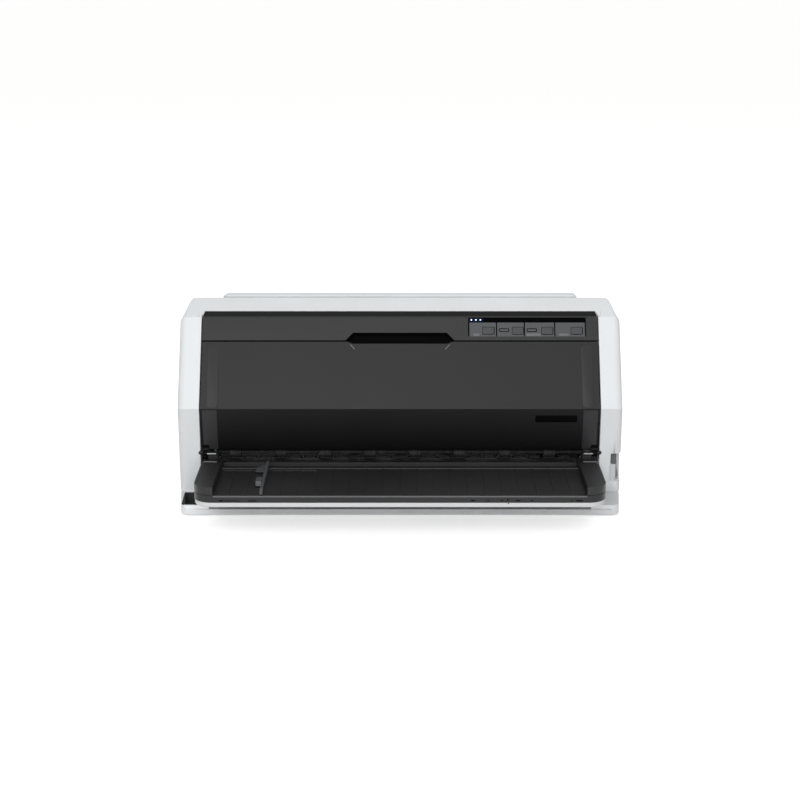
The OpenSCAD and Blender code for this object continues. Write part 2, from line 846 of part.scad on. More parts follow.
module paper_table() {
    rib_count = floor(path_hw / rib_pitch);
    color(black)
    difference() {
        union() {
            translate([0, 0, plate_z])
                linear_extrude(plate_t)
                    table_plan(0);
            // Sloping surface, the step behind it and the bar before the rollers
            along_x(-path_hw, path_hw)
                polygon([
                    [slope_front, lip_z - 1], [bar_back, lip_z - 4], [bar_back, bar_z - 1], [bar_back - 2, bar_z],
                    [bar_back - 20, bar_z], [bar_back - 20, paper_z - 3], [table_back - 18, paper_z - 3],
                    [table_back - 18, paper_z + 0.8], [step_y + 1, paper_z + 0.8], [step_y, paper_z], [slope_front, lip_z]
                ]);
            // Guide ribs
            for (i = [-rib_count:rib_count])
                along_x(i * rib_pitch - 0.8, i * rib_pitch + 0.8)
                    polygon([[slope_front, lip_z - 0.5], [step_y, paper_z - 0.5],
                             [step_y, paper_z + 0.6], [slope_front + 2, lip_z + 0.6]]);
            box([-path_hw, table_back - 1, plate_z], [path_hw, bar_back, lip_z - 3]);
        }
        // Groove that the edge guide's keel runs in
        box([-path_hw + 2, groove_y - groove_w / 2, lip_z - 3.5], [guide_x + guide_travel + 14, groove_y + groove_w / 2, paper_z + 5]);
    }
}

module table_shell() {
    color(white)
    difference() {
        translate([0, 0, shell_z])
            linear_extrude(shell_h)
                table_plan(0.6);
        translate([0, 0, shell_z + 2])
            linear_extrude(shell_h)
                table_plan(3);
    }
}

module table_end_caps() {
    color(dark)
    both_sides()
        intersection() {
            along_x(path_hw + pass_gap / 4, table_hw)
                polygon(rounded([
                    [front_y, lip_z], [table_back, lip_z], [table_back, lip_z + 6], [cap_step_y + 1, lip_z + 6],
                    [cap_step_y, cap_z], [front_y, cap_z - 1.4]], [0, 0, 1, 0, 1, 1.5]));
            translate([0, 0, lip_z - 1])
                linear_extrude(20)
                    table_plan(0);
        }
}

module edge_guide() {
    front = slope_front + 3;
    back = step_y - 1;
    lift = 0.6 + pass_gap;
    color(grey) {
        along_x(guide_x, guide_x + 3.2)
            polygon([
                [front, table_at(front) + lift], [back, table_at(back) + lift],
                [back, table_at(back) + 5], [front + 4, table_at(front) + 5]
            ]);
        // Foot that lies on the ribs, and the finger tab
        along_x(guide_x - 9, guide_x)
            polygon([
                [groove_y - 9, table_at(groove_y - 9) + lift], [back, table_at(back) + lift],
                [back, table_at(back) + lift + 1.2], [groove_y - 9, table_at(groove_y - 9) + lift + 1.2]
            ]);
        along_x(guide_x - 6, guide_x)
            polygon([
                [front + 22, table_at(front + 22) + lift], [front + 40, table_at(front + 40) + lift],
                [front + 38, table_at(front + 40) + 6], [front + 24, table_at(front + 24) + 6]
            ]);
        // Keel in the groove
        box([guide_x - 9, groove_y - groove_w / 2 + pass_gap, lip_z - 3],
            [guide_x + 3.2, groove_y + groove_w / 2 - pass_gap, table_at(groove_y) + lift + 0.5]);
    }
}

// ---------- Frames ----------

frame_top = guide_z + 50;
frame_profile = [
    [front_y + 70, shell_z - 12], [skirt_y + 5, skirt_z + 4], [skirt_y + 5, pan_floor], [rod_y + 16, pan_floor], [rod_y + 16, feed_z + 30],
    [rail_y + 24, rail_z + 2], [rail_y + 24, frame_top], [brow_y + 2, frame_top], [front_feed_y + 4, prow_z - 8],
    [front_feed_y - 5, pinch_z + 12], [front_feed_y - 5, paper_z - 2], [table_back + 2, paper_z - 2],
    [table_back + 2, shell_z], [front_y + 70, shell_z]
];
frame_radii = [3, 2, 2, 4, 12, 6, 10, 8, 3, 3, 1, 1, 1, 2];

// Holes that both frames share, bored for bushes, shafts and rods
module frame_bores() {
    for (c = [front_feed_c, rear_feed_c, tractor_c])
        rod_x(c, feed_shaft_r + bush_wall, frame_x - 1, frame_out + 1);
    rod_x(platen_c, platen_shaft_r + bush_wall, frame_x - 1, frame_out + 1);
    rod_x([guide_y, guide_z], guide_r, frame_x - 1, frame_out + 1);
    rod_x([rod_y, feed_z], 3, frame_x - 1, frame_out + 1);
    for (y = [front_feed_y, rear_feed_y])
        rod_x([y, pinch_z], pinch_shaft_r + running, frame_x - 1, frame_out + 1);
}

module side_frame() {
    color(steel)
    difference() {
        union() {
            along_x(frame_x, frame_out)
                polygon(rounded(frame_profile, frame_radii));
            // Foot flange screwed to the base pan
            box([frame_x - 12, -20, pan_floor], [frame_out, rod_y - 10, pan_floor + frame_t]);
        }
        frame_bores();
        // Lightening window above the mechanism
        along_x(frame_x - 1, frame_out + 1)
            polygon(rounded([[brow_y + 18, guide_z + 22], [rail_y - 22, guide_z + 22],
                             [rail_y - 22, frame_top - 12], [brow_y + 24, frame_top - 12]], [5, 5, 5, 5]));
        for (y = [0, rod_y - 40])
            translate([frame_x - 6, y, pan_floor - 1])
                cylinder(r = 2.2, h = frame_t + 2);
    }
}

module right_frame() {
    side_frame();
}

module left_frame() {
    mirror([1, 0, 0])
        side_frame();
    // Studs that the idler gears turn on
    color(steel)
    for (c = [front_idler_c, rear_idler_c, tractor_idler_c]) {
        rod_x(c, 3, gear_x - 1.4, -frame_x - eps);
        rod_x(c, 5.5, gear_x + gear_w + 1.2, -frame_out + eps);
    }
}

// Cross member: the carriage's rear rail, bent up into a channel
module cross_rail() {
    color(steel)
    difference() {
        union() {
            box([-frame_x, rail_y - 4, rail_z], [frame_x, rail_y + 12, rail_z + frame_t]);
            box([-frame_x, rail_y + 12 - frame_t, rail_z], [frame_x, rail_y + 12, rail_z + 18]);
            box([-frame_x, rail_y - 2, rail_z + 18 - frame_t], [frame_x, rail_y + 12, rail_z + 18]);
        }
        for (x = [-3:3])
            translate([x * 50, rail_y + 14, rail_z + 9])
                rotate([90, 0, 0])
                    cylinder(r = 4, h = 8);
    }
}

module guide_shaft() {
    color(alloy)
    rod_x([guide_y, guide_z], guide_r, -frame_out - 2.4, frame_out + 2.4);
}

// Lower paper guide with windows for the rollers and the platen
guide_t = 1.6;
guide_top = paper_z - 0.6;
module roller_windows(y, half) {
    for (i = [0:roller_count - 1])
        box([roller_x0 + i * roller_pitch - roller_w / 2 - 1, y - half, guide_top - guide_t - 1],
            [roller_x0 + i * roller_pitch + roller_w / 2 + 1, y + half, guide_top + 1]);
}

module paper_guide() {
    drop = feed_r - (paper_z - guide_top + guide_t);
    feed_half = sqrt(feed_r * feed_r - drop * drop) + 0.8;
    deep = platen_r - (paper_z - guide_top + guide_t);
    platen_half = sqrt(platen_r * platen_r - deep * deep) + 0.8;
    color(dark)
    difference() {
        union() {
            box([-frame_x, bar_back + 0.2, guide_top - guide_t], [frame_x, tractor_y - 16, guide_top]);
            // Stiffening ribs under the guide
            for (y = [front_feed_y + 18, platen_y + 28])
                box([-path_hw, y, guide_top - guide_t - 8], [path_hw, y + 2, guide_top - guide_t + eps]);
        }
        roller_windows(front_feed_y, feed_half);
        roller_windows(rear_feed_y, feed_half);
        box([-path_hw - 2, platen_y - platen_half, guide_top - 5], [path_hw + 2, platen_y + platen_half, guide_top + 1]);
        // Notches for the hinge blocks and the feed shafts' bushes
        both_sides()
            for (y = [front_feed_y, rear_feed_y])
                box([frame_x - 4, y - 10, guide_top - 3], [frame_x + 1, y + feed_shaft_r + 5, guide_top + 1]);
    }
}

// ---------- Rollers and shafts ----------

module bush(c, r) {
    for (x = [-frame_out - 1.2, frame_x - bush_len + frame_t + 1.2])
        difference() {
            union() {
                rod_x(c, r + bush_wall, x, x + bush_len);
                rod_x(c, r + bush_wall + 1.5, x < 0 ? -frame_x : frame_x - 1.2, x < 0 ? -frame_x + 1.2 : frame_x);
            }
            rod_x(c, r + running, x - 1, x + bush_len + 1);
        }
}

module shaft_bushes() {
    color([0.7, 0.55, 0.3]) {
        bush(platen_c, platen_shaft_r);
        for (c = [front_feed_c, rear_feed_c, tractor_c])
            bush(c, feed_shaft_r);
    }
}

module driven_shaft(c, r) {
    rod_x(c, r, gear_x - 2, frame_out + 4);
}

module platen_shaft() {
    color(alloy)
    driven_shaft(platen_c, platen_shaft_r);
}

module platen_roller() {
    color(rubber)
    difference() {
        rod_x(platen_c, platen_r, -path_hw, path_hw);
        rod_x(platen_c, platen_shaft_r, -path_hw - 1, path_hw + 1);
    }
}

module platen_gear() {
    color(gear_white)
    difference() {
        gear(platen_n, platen_c, 0, platen_shaft_r);
        gear_windows(platen_n, platen_c);
    }
}

module feed_shaft(c, phase) {
    color(alloy)
    driven_shaft(c, feed_shaft_r);
    color(gear_white)
    gear(feed_n, c, phase, feed_shaft_r - eps);
}

module feed_rollers(c) {
    color(rubber)
    for (i = [0:roller_count - 1])
        difference() {
            rod_x(c, feed_r, roller_x0 + i * roller_pitch - roller_w / 2, roller_x0 + i * roller_pitch + roller_w / 2);
            rod_x(c, feed_shaft_r, -frame_x, frame_x);
        }
}

module pinch_rollers(y) {
    color(grey) {
        rod_x([y, pinch_z], pinch_shaft_r, -frame_out - 1, frame_out + 1);
        for (i = [0:3:roller_count - 1])
            rod_x([y, pinch_z], pinch_r, roller_x0 + i * roller_pitch - roller_w / 2, roller_x0 + i * roller_pitch + roller_w / 2);
    }
}

module front_feed_shaft() feed_shaft(front_feed_c, front_feed_p);
module rear_feed_shaft() feed_shaft(rear_feed_c, rear_feed_p);
module front_feed_rollers() feed_rollers(front_feed_c);
module rear_feed_rollers() feed_rollers(rear_feed_c);
module front_pinch_rollers() pinch_rollers(front_feed_y);
module rear_pinch_rollers() pinch_rollers(rear_feed_y);

module idler_gear(n, c, phase) {
    color(gear_white)
    difference() {
        gear(n, c, phase, 3 + running);
        gear_windows(n, c);
    }
}

module front_idler_gear() idler_gear(front_idler_n, front_idler_c, front_idler_p);
module rear_idler_gear() idler_gear(rear_idler_n, rear_idler_c, rear_idler_p);
module tractor_idler_gear() idler_gear(tractor_idler_n, tractor_idler_c, tractor_idler_p);

// Feed motor outboard of the gears, on a plate held off the frame by posts
module feed_motor() {
    plate = gear_x - 5;
    posts = [[28, 0], [-12, 20], [-22, -2]];
    color(steel)
    difference() {
        union() {
            rod_x(pinion_c, 18, plate - 18, plate);
            along_x(plate, plate + 1.5)
                translate(pinion_c)
                    polygon(rounded([[-27, -7], [8, -22], [33, -5], [33, 6], [-8, 26], [-18, 26]], [3, 6, 3, 3, 3, 3]));
            for (p = posts)
                rod_x(pinion_c + p, 2.8, plate, -frame_out);
            rod_x(pinion_c, 1.5, plate, gear_x + gear_w + 1);
        }
        rod_x(pinion_c, 4, plate - 1, plate - 0.5);
    }
}

module motor_pinion() {
    color([0.75, 0.6, 0.3])
    difference() {
        along_x(gear_x - 0.5, gear_x + gear_w)
            translate(pinion_c)
                polygon(gear_outline(pinion_n, pinion_p));
        rod_x(pinion_c, 1.5 + running, gear_x - 1, gear_x + gear_w + 1);
    }
}

// ---------- Tractors ----------

tractor_w = 20;
tractor_x = path_hw - 50;
tractor_top = paper_z - 0.4;
pin_pitch = 12.7;

module tractor_shaft() {
    color(alloy) {
        rod_x(tractor_c, feed_shaft_r, gear_x - 2, -frame_x + 8);
        rod_x(tractor_c, feed_shaft_r, frame_x - 8, frame_out + 4);
        translate([-frame_x + 8, tractor_y - 3, feed_z - 3])
            cube([2 * frame_x - 16, 6, 6]);
    }
    color(gear_white)
    gear(feed_n, tractor_c, tractor_p, feed_shaft_r - eps);
}

module tractor_rod() {
    color(alloy)
    rod_x([rod_y, feed_z], 3, -frame_out - 2, frame_out + 2);
}

// A tractor: a flat housing round both rods, its pin belt and a hinged flap
module tractor(side) {
    x0 = side * tractor_x - tractor_w / 2;
    half = tractor_top - feed_z;
    color(grey)
    difference() {
        union() {
            rod_x([tractor_y, feed_z], half, x0, x0 + tractor_w);
            rod_x([rod_y, feed_z], half, x0, x0 + tractor_w);
            box([x0, tractor_y, feed_z - half], [x0 + tractor_w, rod_y, feed_z + half]);
            for (i = [0:2])
                translate([x0 + tractor_w / 2 - side * 4, tractor_y + 2 + i * pin_pitch, tractor_top - 1])
                    cylinder(r1 = 1.9, r2 = 1.2, h = 3);
            // Flap over the pins, on two ears
            box([x0 + 1, tractor_y - 2, tractor_top + 3.2], [x0 + tractor_w - 1, rod_y + 2, tractor_top + 5]);
            for (y = [tractor_y - 2, rod_y - 3])
                box([side > 0 ? x0 + tractor_w - 4 : x0 + 1, y, tractor_top - 2],
                    [side > 0 ? x0 + tractor_w - 1 : x0 + 4, y + 5, tractor_top + 4]);
        }
        rod_x(tractor_c, 5, x0 - 1, x0 + tractor_w + 1);
        rod_x([rod_y, feed_z], 3 + running, x0 - 1, x0 + tractor_w + 1);
    }
}

module left_tractor() tractor(-1);
module right_tractor() tractor(1);

// ---------- Carriage ----------

deck_z = guide_z - 9;
deck_hw = 34;
saddle_hw = 30;
bush_r = guide_r + 3;

module carriage() {
    color(dark)
    difference() {
        union() {
            box([-deck_hw, platen_y - 24, deck_z], [deck_hw, guide_y + 4, deck_z + 4]);
            both_sides()
                box([saddle_hw, platen_y - 20, deck_z], [deck_hw, guide_y, deck_z + 22]);
            // Saddle round the guide shaft
            rod_x([guide_y, guide_z], bush_r + 3, -saddle_hw, saddle_hw);
            box([-saddle_hw, guide_y - 10, deck_z], [saddle_hw, guide_y + 4, guide_z]);
            // Mast and finger on the rear rail
            box([-8, guide_y + 4, guide_z], [8, guide_y + 12, rail_z + frame_t + pass_gap + 4]);
            box([-8, guide_y + 4, rail_z + frame_t + pass_gap], [8, rail_y + 8, rail_z + frame_t + pass_gap + 4]);
            // Clamp on the belt's front run
            box([-12, guide_y + 10, belt_z - 2], [12, belt_y - pulley_r + 3.4, belt_z + belt_w + 2]);
        }
        rod_x([guide_y, guide_z], bush_r, -saddle_hw - 1, -saddle_hw + 16);
        rod_x([guide_y, guide_z], bush_r, saddle_hw - 16, saddle_hw + 1);
        rod_x([guide_y, guide_z], guide_r + 1, -deck_hw - 1, deck_hw + 1);
        translate([0, platen_y, deck_z - 1])
            cylinder(r = head_r - 4, h = 8);
        translate([0, platen_y, deck_z + 4])
            cylinder(r = head_r + 3, h = 40);
        // Belt slot
        box([-13, belt_y - pulley_r - belt_t - pass_gap, belt_z - pass_gap],
            [13, belt_y - pulley_r + pass_gap, belt_z + belt_w + pass_gap]);
    }
}

module carriage_bushes() {
    color([0.7, 0.55, 0.3])
    for (x = [-saddle_hw, saddle_hw - 16])
        difference() {
            rod_x([guide_y, guide_z], bush_r, x, x + 16);
            rod_x([guide_y, guide_z], guide_r + running, x - 1, x + 17);
        }
}

// Print head: a finned drum over a needle nose that points down at the platen
module print_head() {
    fin_gap = 4;
    color(alloy)
    translate([0, platen_y, 0])
    difference() {
        union() {
            translate([0, 0, deck_z + 4])
                cylinder(r = head_r - 4, h = fin_gap * fin_count + 2);
            for (i = [0:fin_count])
                translate([0, 0, deck_z + 4 + i * fin_gap])
                    cylinder(r = head_r, h = 1.8);
            translate([0, 0, deck_z - 8])
                cylinder(r1 = 8, r2 = head_r - 5, h = 12);
            translate([-5, -9, paper_z + 1.6])
                cube([10, 18, deck_z - paper_z - 7]);
        }
        translate([0, 0, deck_z + 4 + fin_gap * fin_count])
            cylinder(r = 7, h = 5);
    }
}

// Ribbon cartridge: a flat case before the nose with two arms beside it
cart_hw = 60;
cart_z = paper_z + 11;
cart_top = deck_z - 3;
knob_c = [-cart_hw + 17, platen_y - 33];

module ribbon_cartridge() {
    color(black)
    difference() {
        union() {
            box([-cart_hw, platen_y - 42, cart_z], [cart_hw, platen_y - 14, cart_top]);
            both_sides() {
                box([cart_hw - 16, platen_y - 15, cart_z], [cart_hw, platen_y + 10, cart_top]);
                along_x(cart_hw - 12, cart_hw - 3)
                    polygon([[platen_y - 12, cart_z + 1], [platen_y + 10, cart_z + 1],
                             [platen_y + 5, paper_z + 2], [platen_y - 5, paper_z + 2]]);
                box([26, platen_y - 20, cart_top - 1], [31, platen_y - 15, deck_z]);
            }
            translate([knob_c.x, knob_c.y, cart_top - 1])
                cylinder(r = 2, h = 9);
        }
        // Grip hollows at both ends
        both_sides()
            translate([cart_hw + 6, platen_y - 28, cart_z - 1])
                cylinder(r = 10, h = 30);
    }
}

module ribbon_knob() {
    color(grey)
    translate([knob_c.x, knob_c.y, cart_top + pass_gap])
    difference() {
        union() {
            cylinder(r = 8, h = 2);
            cylinder(r = 6, h = 7);
        }
        // Finger grips
        for (a = [0:45:315])
            rotate(a)
                translate([5.2, -0.7, 2.6])
                    cube([2, 1.4, 6]);
        translate([0, 0, -1])
            cylinder(r = 2 + running, h = 10);
    }
}

// ---------- Belt drive ----------

bracket_z = belt_z - 4;
module carriage_motor() {
    color(black)
    translate([pulley_x, belt_y, 0]) {
        difference() {
            translate([-motor_w / 2, -motor_w / 2, bracket_z - motor_h])
                cube([motor_w, motor_w, motor_h]);
            for (a = [45:90:315])
                rotate(a)
                    translate([motor_w * 0.72, 0, bracket_z - motor_h - 1])
                        cylinder(r = 4, h = motor_h + 2);
        }
        translate([0, 0, bracket_z - 1])
            cylinder(r = 2.5, h = belt_z + belt_w + 2 - bracket_z);
    }
}

module motor_bracket() {
    color(steel)
    difference() {
        union() {
            box([pulley_x - motor_w / 2 - 3, belt_y - motor_w / 2 - 3, bracket_z],
                [frame_x, belt_y + motor_w / 2 + 3, bracket_z + frame_t]);
            box([frame_x - frame_t, belt_y - motor_w / 2 - 3, bracket_z - 14],
                [frame_x, belt_y + motor_w / 2 + 3, bracket_z + frame_t]);
        }
        translate([pulley_x, belt_y, bracket_z - 1])
            cylinder(r = 11, h = 4);
    }
}

module pulley() {
    difference() {
        union() {
            translate([0, 0, belt_z])
                cylinder(r = pulley_r - 0.05, h = belt_w);
            for (z = [belt_z - 1.4, belt_z + belt_w + 0.4])
                translate([0, 0, z])
                    cylinder(r = pulley_r + 1.8, h = 1);
            translate([0, 0, belt_z - 1.4])
                cylinder(r = 5, h = belt_w + 2.8);
        }
        translate([0, 0, belt_z - 3])
            cylinder(r = 2.5 + running, h = belt_w + 8);
    }
}

module drive_pulley() {
    color(alloy)
    translate([pulley_x, belt_y, 0])
        pulley();
}

module idler_pulley() {
    color(gear_white)
    translate([-pulley_x, belt_y, 0])
        pulley();
}

module idler_bracket() {
    color(steel) {
        box([-frame_x, belt_y - 14, bracket_z], [-pulley_x + 14, belt_y + 14, bracket_z + frame_t]);
        box([-frame_x, belt_y - 14, bracket_z - 12], [-frame_x + frame_t, belt_y + 14, bracket_z + frame_t]);
        translate([-pulley_x, belt_y, bracket_z])
            cylinder(r = 2.5, h = belt_z + belt_w + 3 - bracket_z);
    }
}

// Outline of the belt's loop at distance r from its pulleys' centres
module belt_loop(r) {
    for (x = [-1, 1])
        translate([x * pulley_x, belt_y])
            circle(r = r);
    translate([-pulley_x, belt_y - r])
        square([2 * pulley_x, 2 * r]);
}

module timing_belt() {
    color(black)
    translate([0, 0, belt_z])
    linear_extrude(belt_w)
    difference() {
        belt_loop(pulley_r + belt_t);
        belt_loop(pulley_r + 0.02);
    }
}

// ---------- Electronics ----------

board_z = pan_floor + 6;
module main_board() {
    color(board_green) {
        box([-frame_x + 14, tractor_y - 26, board_z], [30, rear_y - 10, board_z + 1.6]);
        for (x = [-frame_x + 20, 24], y = [tractor_y - 20, rear_y - 16])
            translate([x, y, pan_floor])
                cylinder(r = 3, h = board_z - pan_floor + eps);
    }
    color(black)
    for (i = [0:3])
        box([-frame_x + 40 + i * 46, tractor_y - 4, board_z + 1.5], [-frame_x + 66 + i * 46, tractor_y + 22, board_z + 4]);
}

module power_supply() {
    color(steel)
    difference() {
        box([frame_x / 4, tractor_y - 24, pan_floor], [frame_x - 14, rear_y - 22, feed_z - 12]);
        for (i = [0:9])
            box([frame_x / 4 + 12 + i * 11, tractor_y - 10, feed_z - 14],
                [frame_x / 4 + 18 + i * 11, rear_y - 34, feed_z - 11]);
    }
}

// Mains inlet and data ports in the rear wall
module rear_ports() {
    color(black) {
        difference() {
            union() {
                box([inlet_x - inlet_w / 2 + 0.1, rear_y - 21, port_z - inlet_h / 2 + 0.1],
                    [inlet_x + inlet_w / 2 - 0.1, rear_y - 0.6, port_z + inlet_h / 2 - 0.1]);
            }
            box([inlet_x - inlet_w / 2 + 2, rear_y - 17, port_z - inlet_h / 2 + 2],
                [inlet_x + inlet_w / 2 - 2, rear_y + 1, port_z + inlet_h / 2 - 2]);
        }
        for (x = [-7, 0, 7])
            box([inlet_x + x - 1, rear_y - 18, port_z - (x == 0 ? -1 : 4)], [inlet_x + x + 1, rear_y - 5, port_z + (x == 0 ? 5 : 0)]);
    }
    color(steel) {
        difference() {
            box([parallel_x - 29.8, rear_y - 20, port_z - 6.8], [parallel_x + 29.8, rear_y - 0.6, port_z + 6.8]);
            box([parallel_x - 26, rear_y - 8, port_z - 4], [parallel_x + 26, rear_y + 1, port_z + 4]);
        }
        difference() {
            box([usb_x - 5.9, rear_y - 18, port_z - 5.4], [usb_x + 5.9, rear_y - 0.6, port_z + 5.4]);
            box([usb_x - 4.3, rear_y - 9, port_z - 3.9], [usb_x + 4.3, rear_y + 1, port_z + 3.9]);
        }
    }
    color(board_green) {
        box([parallel_x - 26, rear_y - 24, board_z + 1.6], [parallel_x + 26, rear_y - 14, port_z - 6.8 + eps]);
        box([usb_x - 5, rear_y - 24, board_z + 1.6], [usb_x + 5, rear_y - 14, port_z - 5.4 + eps]);
    }
}

base_pan();
rubber_feet();
upper_casing();
front_fascia();
button_panel();
tear_off_button();
line_feed_button();
load_eject_button();
pause_button();
status_lamps();
panel_board();
front_cover();
cover_hinges();
rear_lid();
lid_hinge_rod();
power_switch_bezel();
power_rocker();
paper_table();
table_shell();
table_end_caps();
edge_guide();
left_frame();
right_frame();
cross_rail();
guide_shaft();
carriage();
carriage_bushes();
print_head();
ribbon_cartridge();
ribbon_knob();
carriage_motor();
motor_bracket();
drive_pulley();
idler_bracket();
idler_pulley();
timing_belt();
paper_guide();
shaft_bushes();
platen_shaft();
platen_roller();
platen_gear();
front_idler_gear();
front_feed_shaft();
front_feed_rollers();
front_pinch_rollers();
rear_idler_gear();
rear_feed_shaft();
rear_feed_rollers();
rear_pinch_rollers();
feed_motor();
motor_pinion();
tractor_shaft();
tractor_idler_gear();
tractor_rod();
left_tractor();
right_tractor();
main_board();
power_supply();
rear_ports();
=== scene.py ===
# %% [markdown]
# # A dot matrix printer with a flat paper path
#
# The real machine is a wide desktop box: a matt white moulded casing over a
# grey base, a black mouth at the front with a drop-down cover, and a black
# table that leads into it. The CAD model gives every size and every joint.
# Here it gets its surfaces: rounded edges, moulded textures, the small parts
# on the control panel and the metal and rubber inside.
#
# Distances in the cells below are millimetres, as on a drawing, and the
# constant `mm` turns them into Blender's metres.

# %% Load the frame
import json
import math

import bmesh
import bpy
import numpy as np
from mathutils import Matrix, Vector
from mathutils.geometry import convex_hull_2d

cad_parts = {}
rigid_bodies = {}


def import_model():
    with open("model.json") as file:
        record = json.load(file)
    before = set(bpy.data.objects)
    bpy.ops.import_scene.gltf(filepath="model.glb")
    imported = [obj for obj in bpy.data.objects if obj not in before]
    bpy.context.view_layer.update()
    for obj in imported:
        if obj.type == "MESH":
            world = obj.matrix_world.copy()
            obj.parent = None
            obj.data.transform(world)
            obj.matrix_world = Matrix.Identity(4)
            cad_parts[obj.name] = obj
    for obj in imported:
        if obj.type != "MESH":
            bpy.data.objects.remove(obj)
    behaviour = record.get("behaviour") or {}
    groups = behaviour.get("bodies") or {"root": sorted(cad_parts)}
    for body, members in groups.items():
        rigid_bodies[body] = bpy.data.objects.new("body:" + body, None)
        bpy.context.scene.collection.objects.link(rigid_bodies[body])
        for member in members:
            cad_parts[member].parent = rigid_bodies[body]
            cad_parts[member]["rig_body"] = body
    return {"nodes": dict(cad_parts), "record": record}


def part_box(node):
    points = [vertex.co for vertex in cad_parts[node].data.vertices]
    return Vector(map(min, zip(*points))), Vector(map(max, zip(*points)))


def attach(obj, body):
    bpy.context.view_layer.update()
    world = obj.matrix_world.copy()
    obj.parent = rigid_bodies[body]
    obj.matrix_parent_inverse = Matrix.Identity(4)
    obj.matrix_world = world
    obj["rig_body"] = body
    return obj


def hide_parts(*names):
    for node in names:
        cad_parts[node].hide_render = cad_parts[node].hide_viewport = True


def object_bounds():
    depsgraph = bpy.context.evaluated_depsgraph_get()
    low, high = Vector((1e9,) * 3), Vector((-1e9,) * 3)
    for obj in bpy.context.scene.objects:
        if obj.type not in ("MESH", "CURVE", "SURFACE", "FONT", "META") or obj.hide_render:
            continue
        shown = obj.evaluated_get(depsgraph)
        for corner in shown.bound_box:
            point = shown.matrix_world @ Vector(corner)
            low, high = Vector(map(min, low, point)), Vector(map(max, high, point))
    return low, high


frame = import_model()
cad_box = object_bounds()
mm = 0.001
print("CAD box, mm:", [[round(v / mm, 1) for v in corner] for corner in cad_box])

# %% [markdown]
# ## Camera and light
#
# The picture was taken from the front, a little above the machine, with the
# camera tipped 14 degrees down. A 76.5 mm lens on a 36 mm sensor at 1.9 m
# gives the same narrow perspective, so the sides of the casing hardly show.

# %% Camera
camera = bpy.data.objects.new("camera", bpy.data.cameras.new("camera"))
camera.data.lens = 76.5
camera.data.sensor_width = 36
camera.location = (0, -1.835, 0.561)
camera.rotation_euler = (math.radians(90 - 14), 0, 0)
bpy.context.scene.collection.objects.link(camera)
bpy.context.scene.camera = camera
print("camera at", tuple(round(v, 3) for v in camera.location))

# %% [markdown]
# A matt object is lit best by big soft sources. One large lamp in front and
# above makes the sloping front the brightest face, as in a product picture,
# and the even world fills the rest. The camera sees the world as plain white,
# also in a mirror or through glass, but the light that it gives is dimmer.


# %% Colours and nodes
def linear(colour):
    """sRGB hex to linear: the straight part below 0.04045, the 2.4 power above."""
    srgb = np.array([int(colour[i:i + 2], 16) for i in (1, 3, 5)]) / 255
    value = np.where(srgb <= 0.04045, srgb / 12.92, ((srgb + 0.055) / 1.055) ** 2.4)
    return (*value.tolist(), 1.0)


def add(tree, kind, inputs=None, **settings):
    """Adds a node with its settings; an input is a value or another node's output."""
    node = tree.nodes.new("ShaderNode" + kind)
    for key, value in settings.items():
        setattr(node, key, value)
    for key, value in (inputs or {}).items():
        if isinstance(value, bpy.types.NodeSocket):
            tree.links.new(value, node.inputs[key])
        else:
            node.inputs[key].default_value = value
    return node


def backdrop_rays(tree):
    """1 for the rays that show the backdrop itself: the camera's, and those off gloss or through glass."""
    path = add(tree, "LightPath")
    shown = path.outputs["Is Camera Ray"]
    for kind in ("Is Glossy Ray", "Is Transmission Ray"):
        shown = add(tree, "Math", {0: shown, 1: path.outputs[kind]}, operation="MAXIMUM").outputs[0]
    return shown


# %% World
front_light, rear_light = 0.63, 0.3
world = bpy.data.worlds.new("studio")
world.use_nodes = True
bpy.context.scene.world = world
tree = world.node_tree
tree.nodes.clear()
aim = add(tree, "SeparateXYZ", {0: add(tree, "TexCoord").outputs["Generated"]})
from_front = add(tree, "MapRange", {"Value": aim.outputs["Y"], "From Min": -1.0, "From Max": 1.0,
                                    "To Min": front_light, "To Max": rear_light})
lit = add(tree, "Background", {"Color": linear("#FFFFFF"), "Strength": from_front.outputs[0]})
shown = add(tree, "Background", {"Color": linear("#FFFFFF"), "Strength": 1.0})
both = add(tree, "MixShader", {0: backdrop_rays(tree), 1: lit.outputs[0], 2: shown.outputs[0]})
add(tree, "OutputWorld", {"Surface": both.outputs[0]})
print("world strength, front and rear:", front_light, rear_light)


# %% Lamps
def soft_lamp(name, place, size, power):
    """A square area lamp at a place in metres, turned to face the middle of the machine."""
    lamp = bpy.data.objects.new(name, bpy.data.lights.new(name, "AREA"))
    lamp.data.size = size
    lamp.data.energy = power
    lamp.location = place
    lamp.rotation_euler = (Vector((0, 0, 0.1)) - Vector(place)).to_track_quat("-Z", "Y").to_euler()
    bpy.context.scene.collection.objects.link(lamp)
    print(name, "lamp:", power, "W")


soft_lamp("key", (-0.5, -2.7, 1.6), 1.8, 43)
soft_lamp("fill", (0.2, -2.2, 0.33), 0.5, 2.6)
soft_lamp("top", (0.6, 0.6, 2.4), 1.6, 12.5)

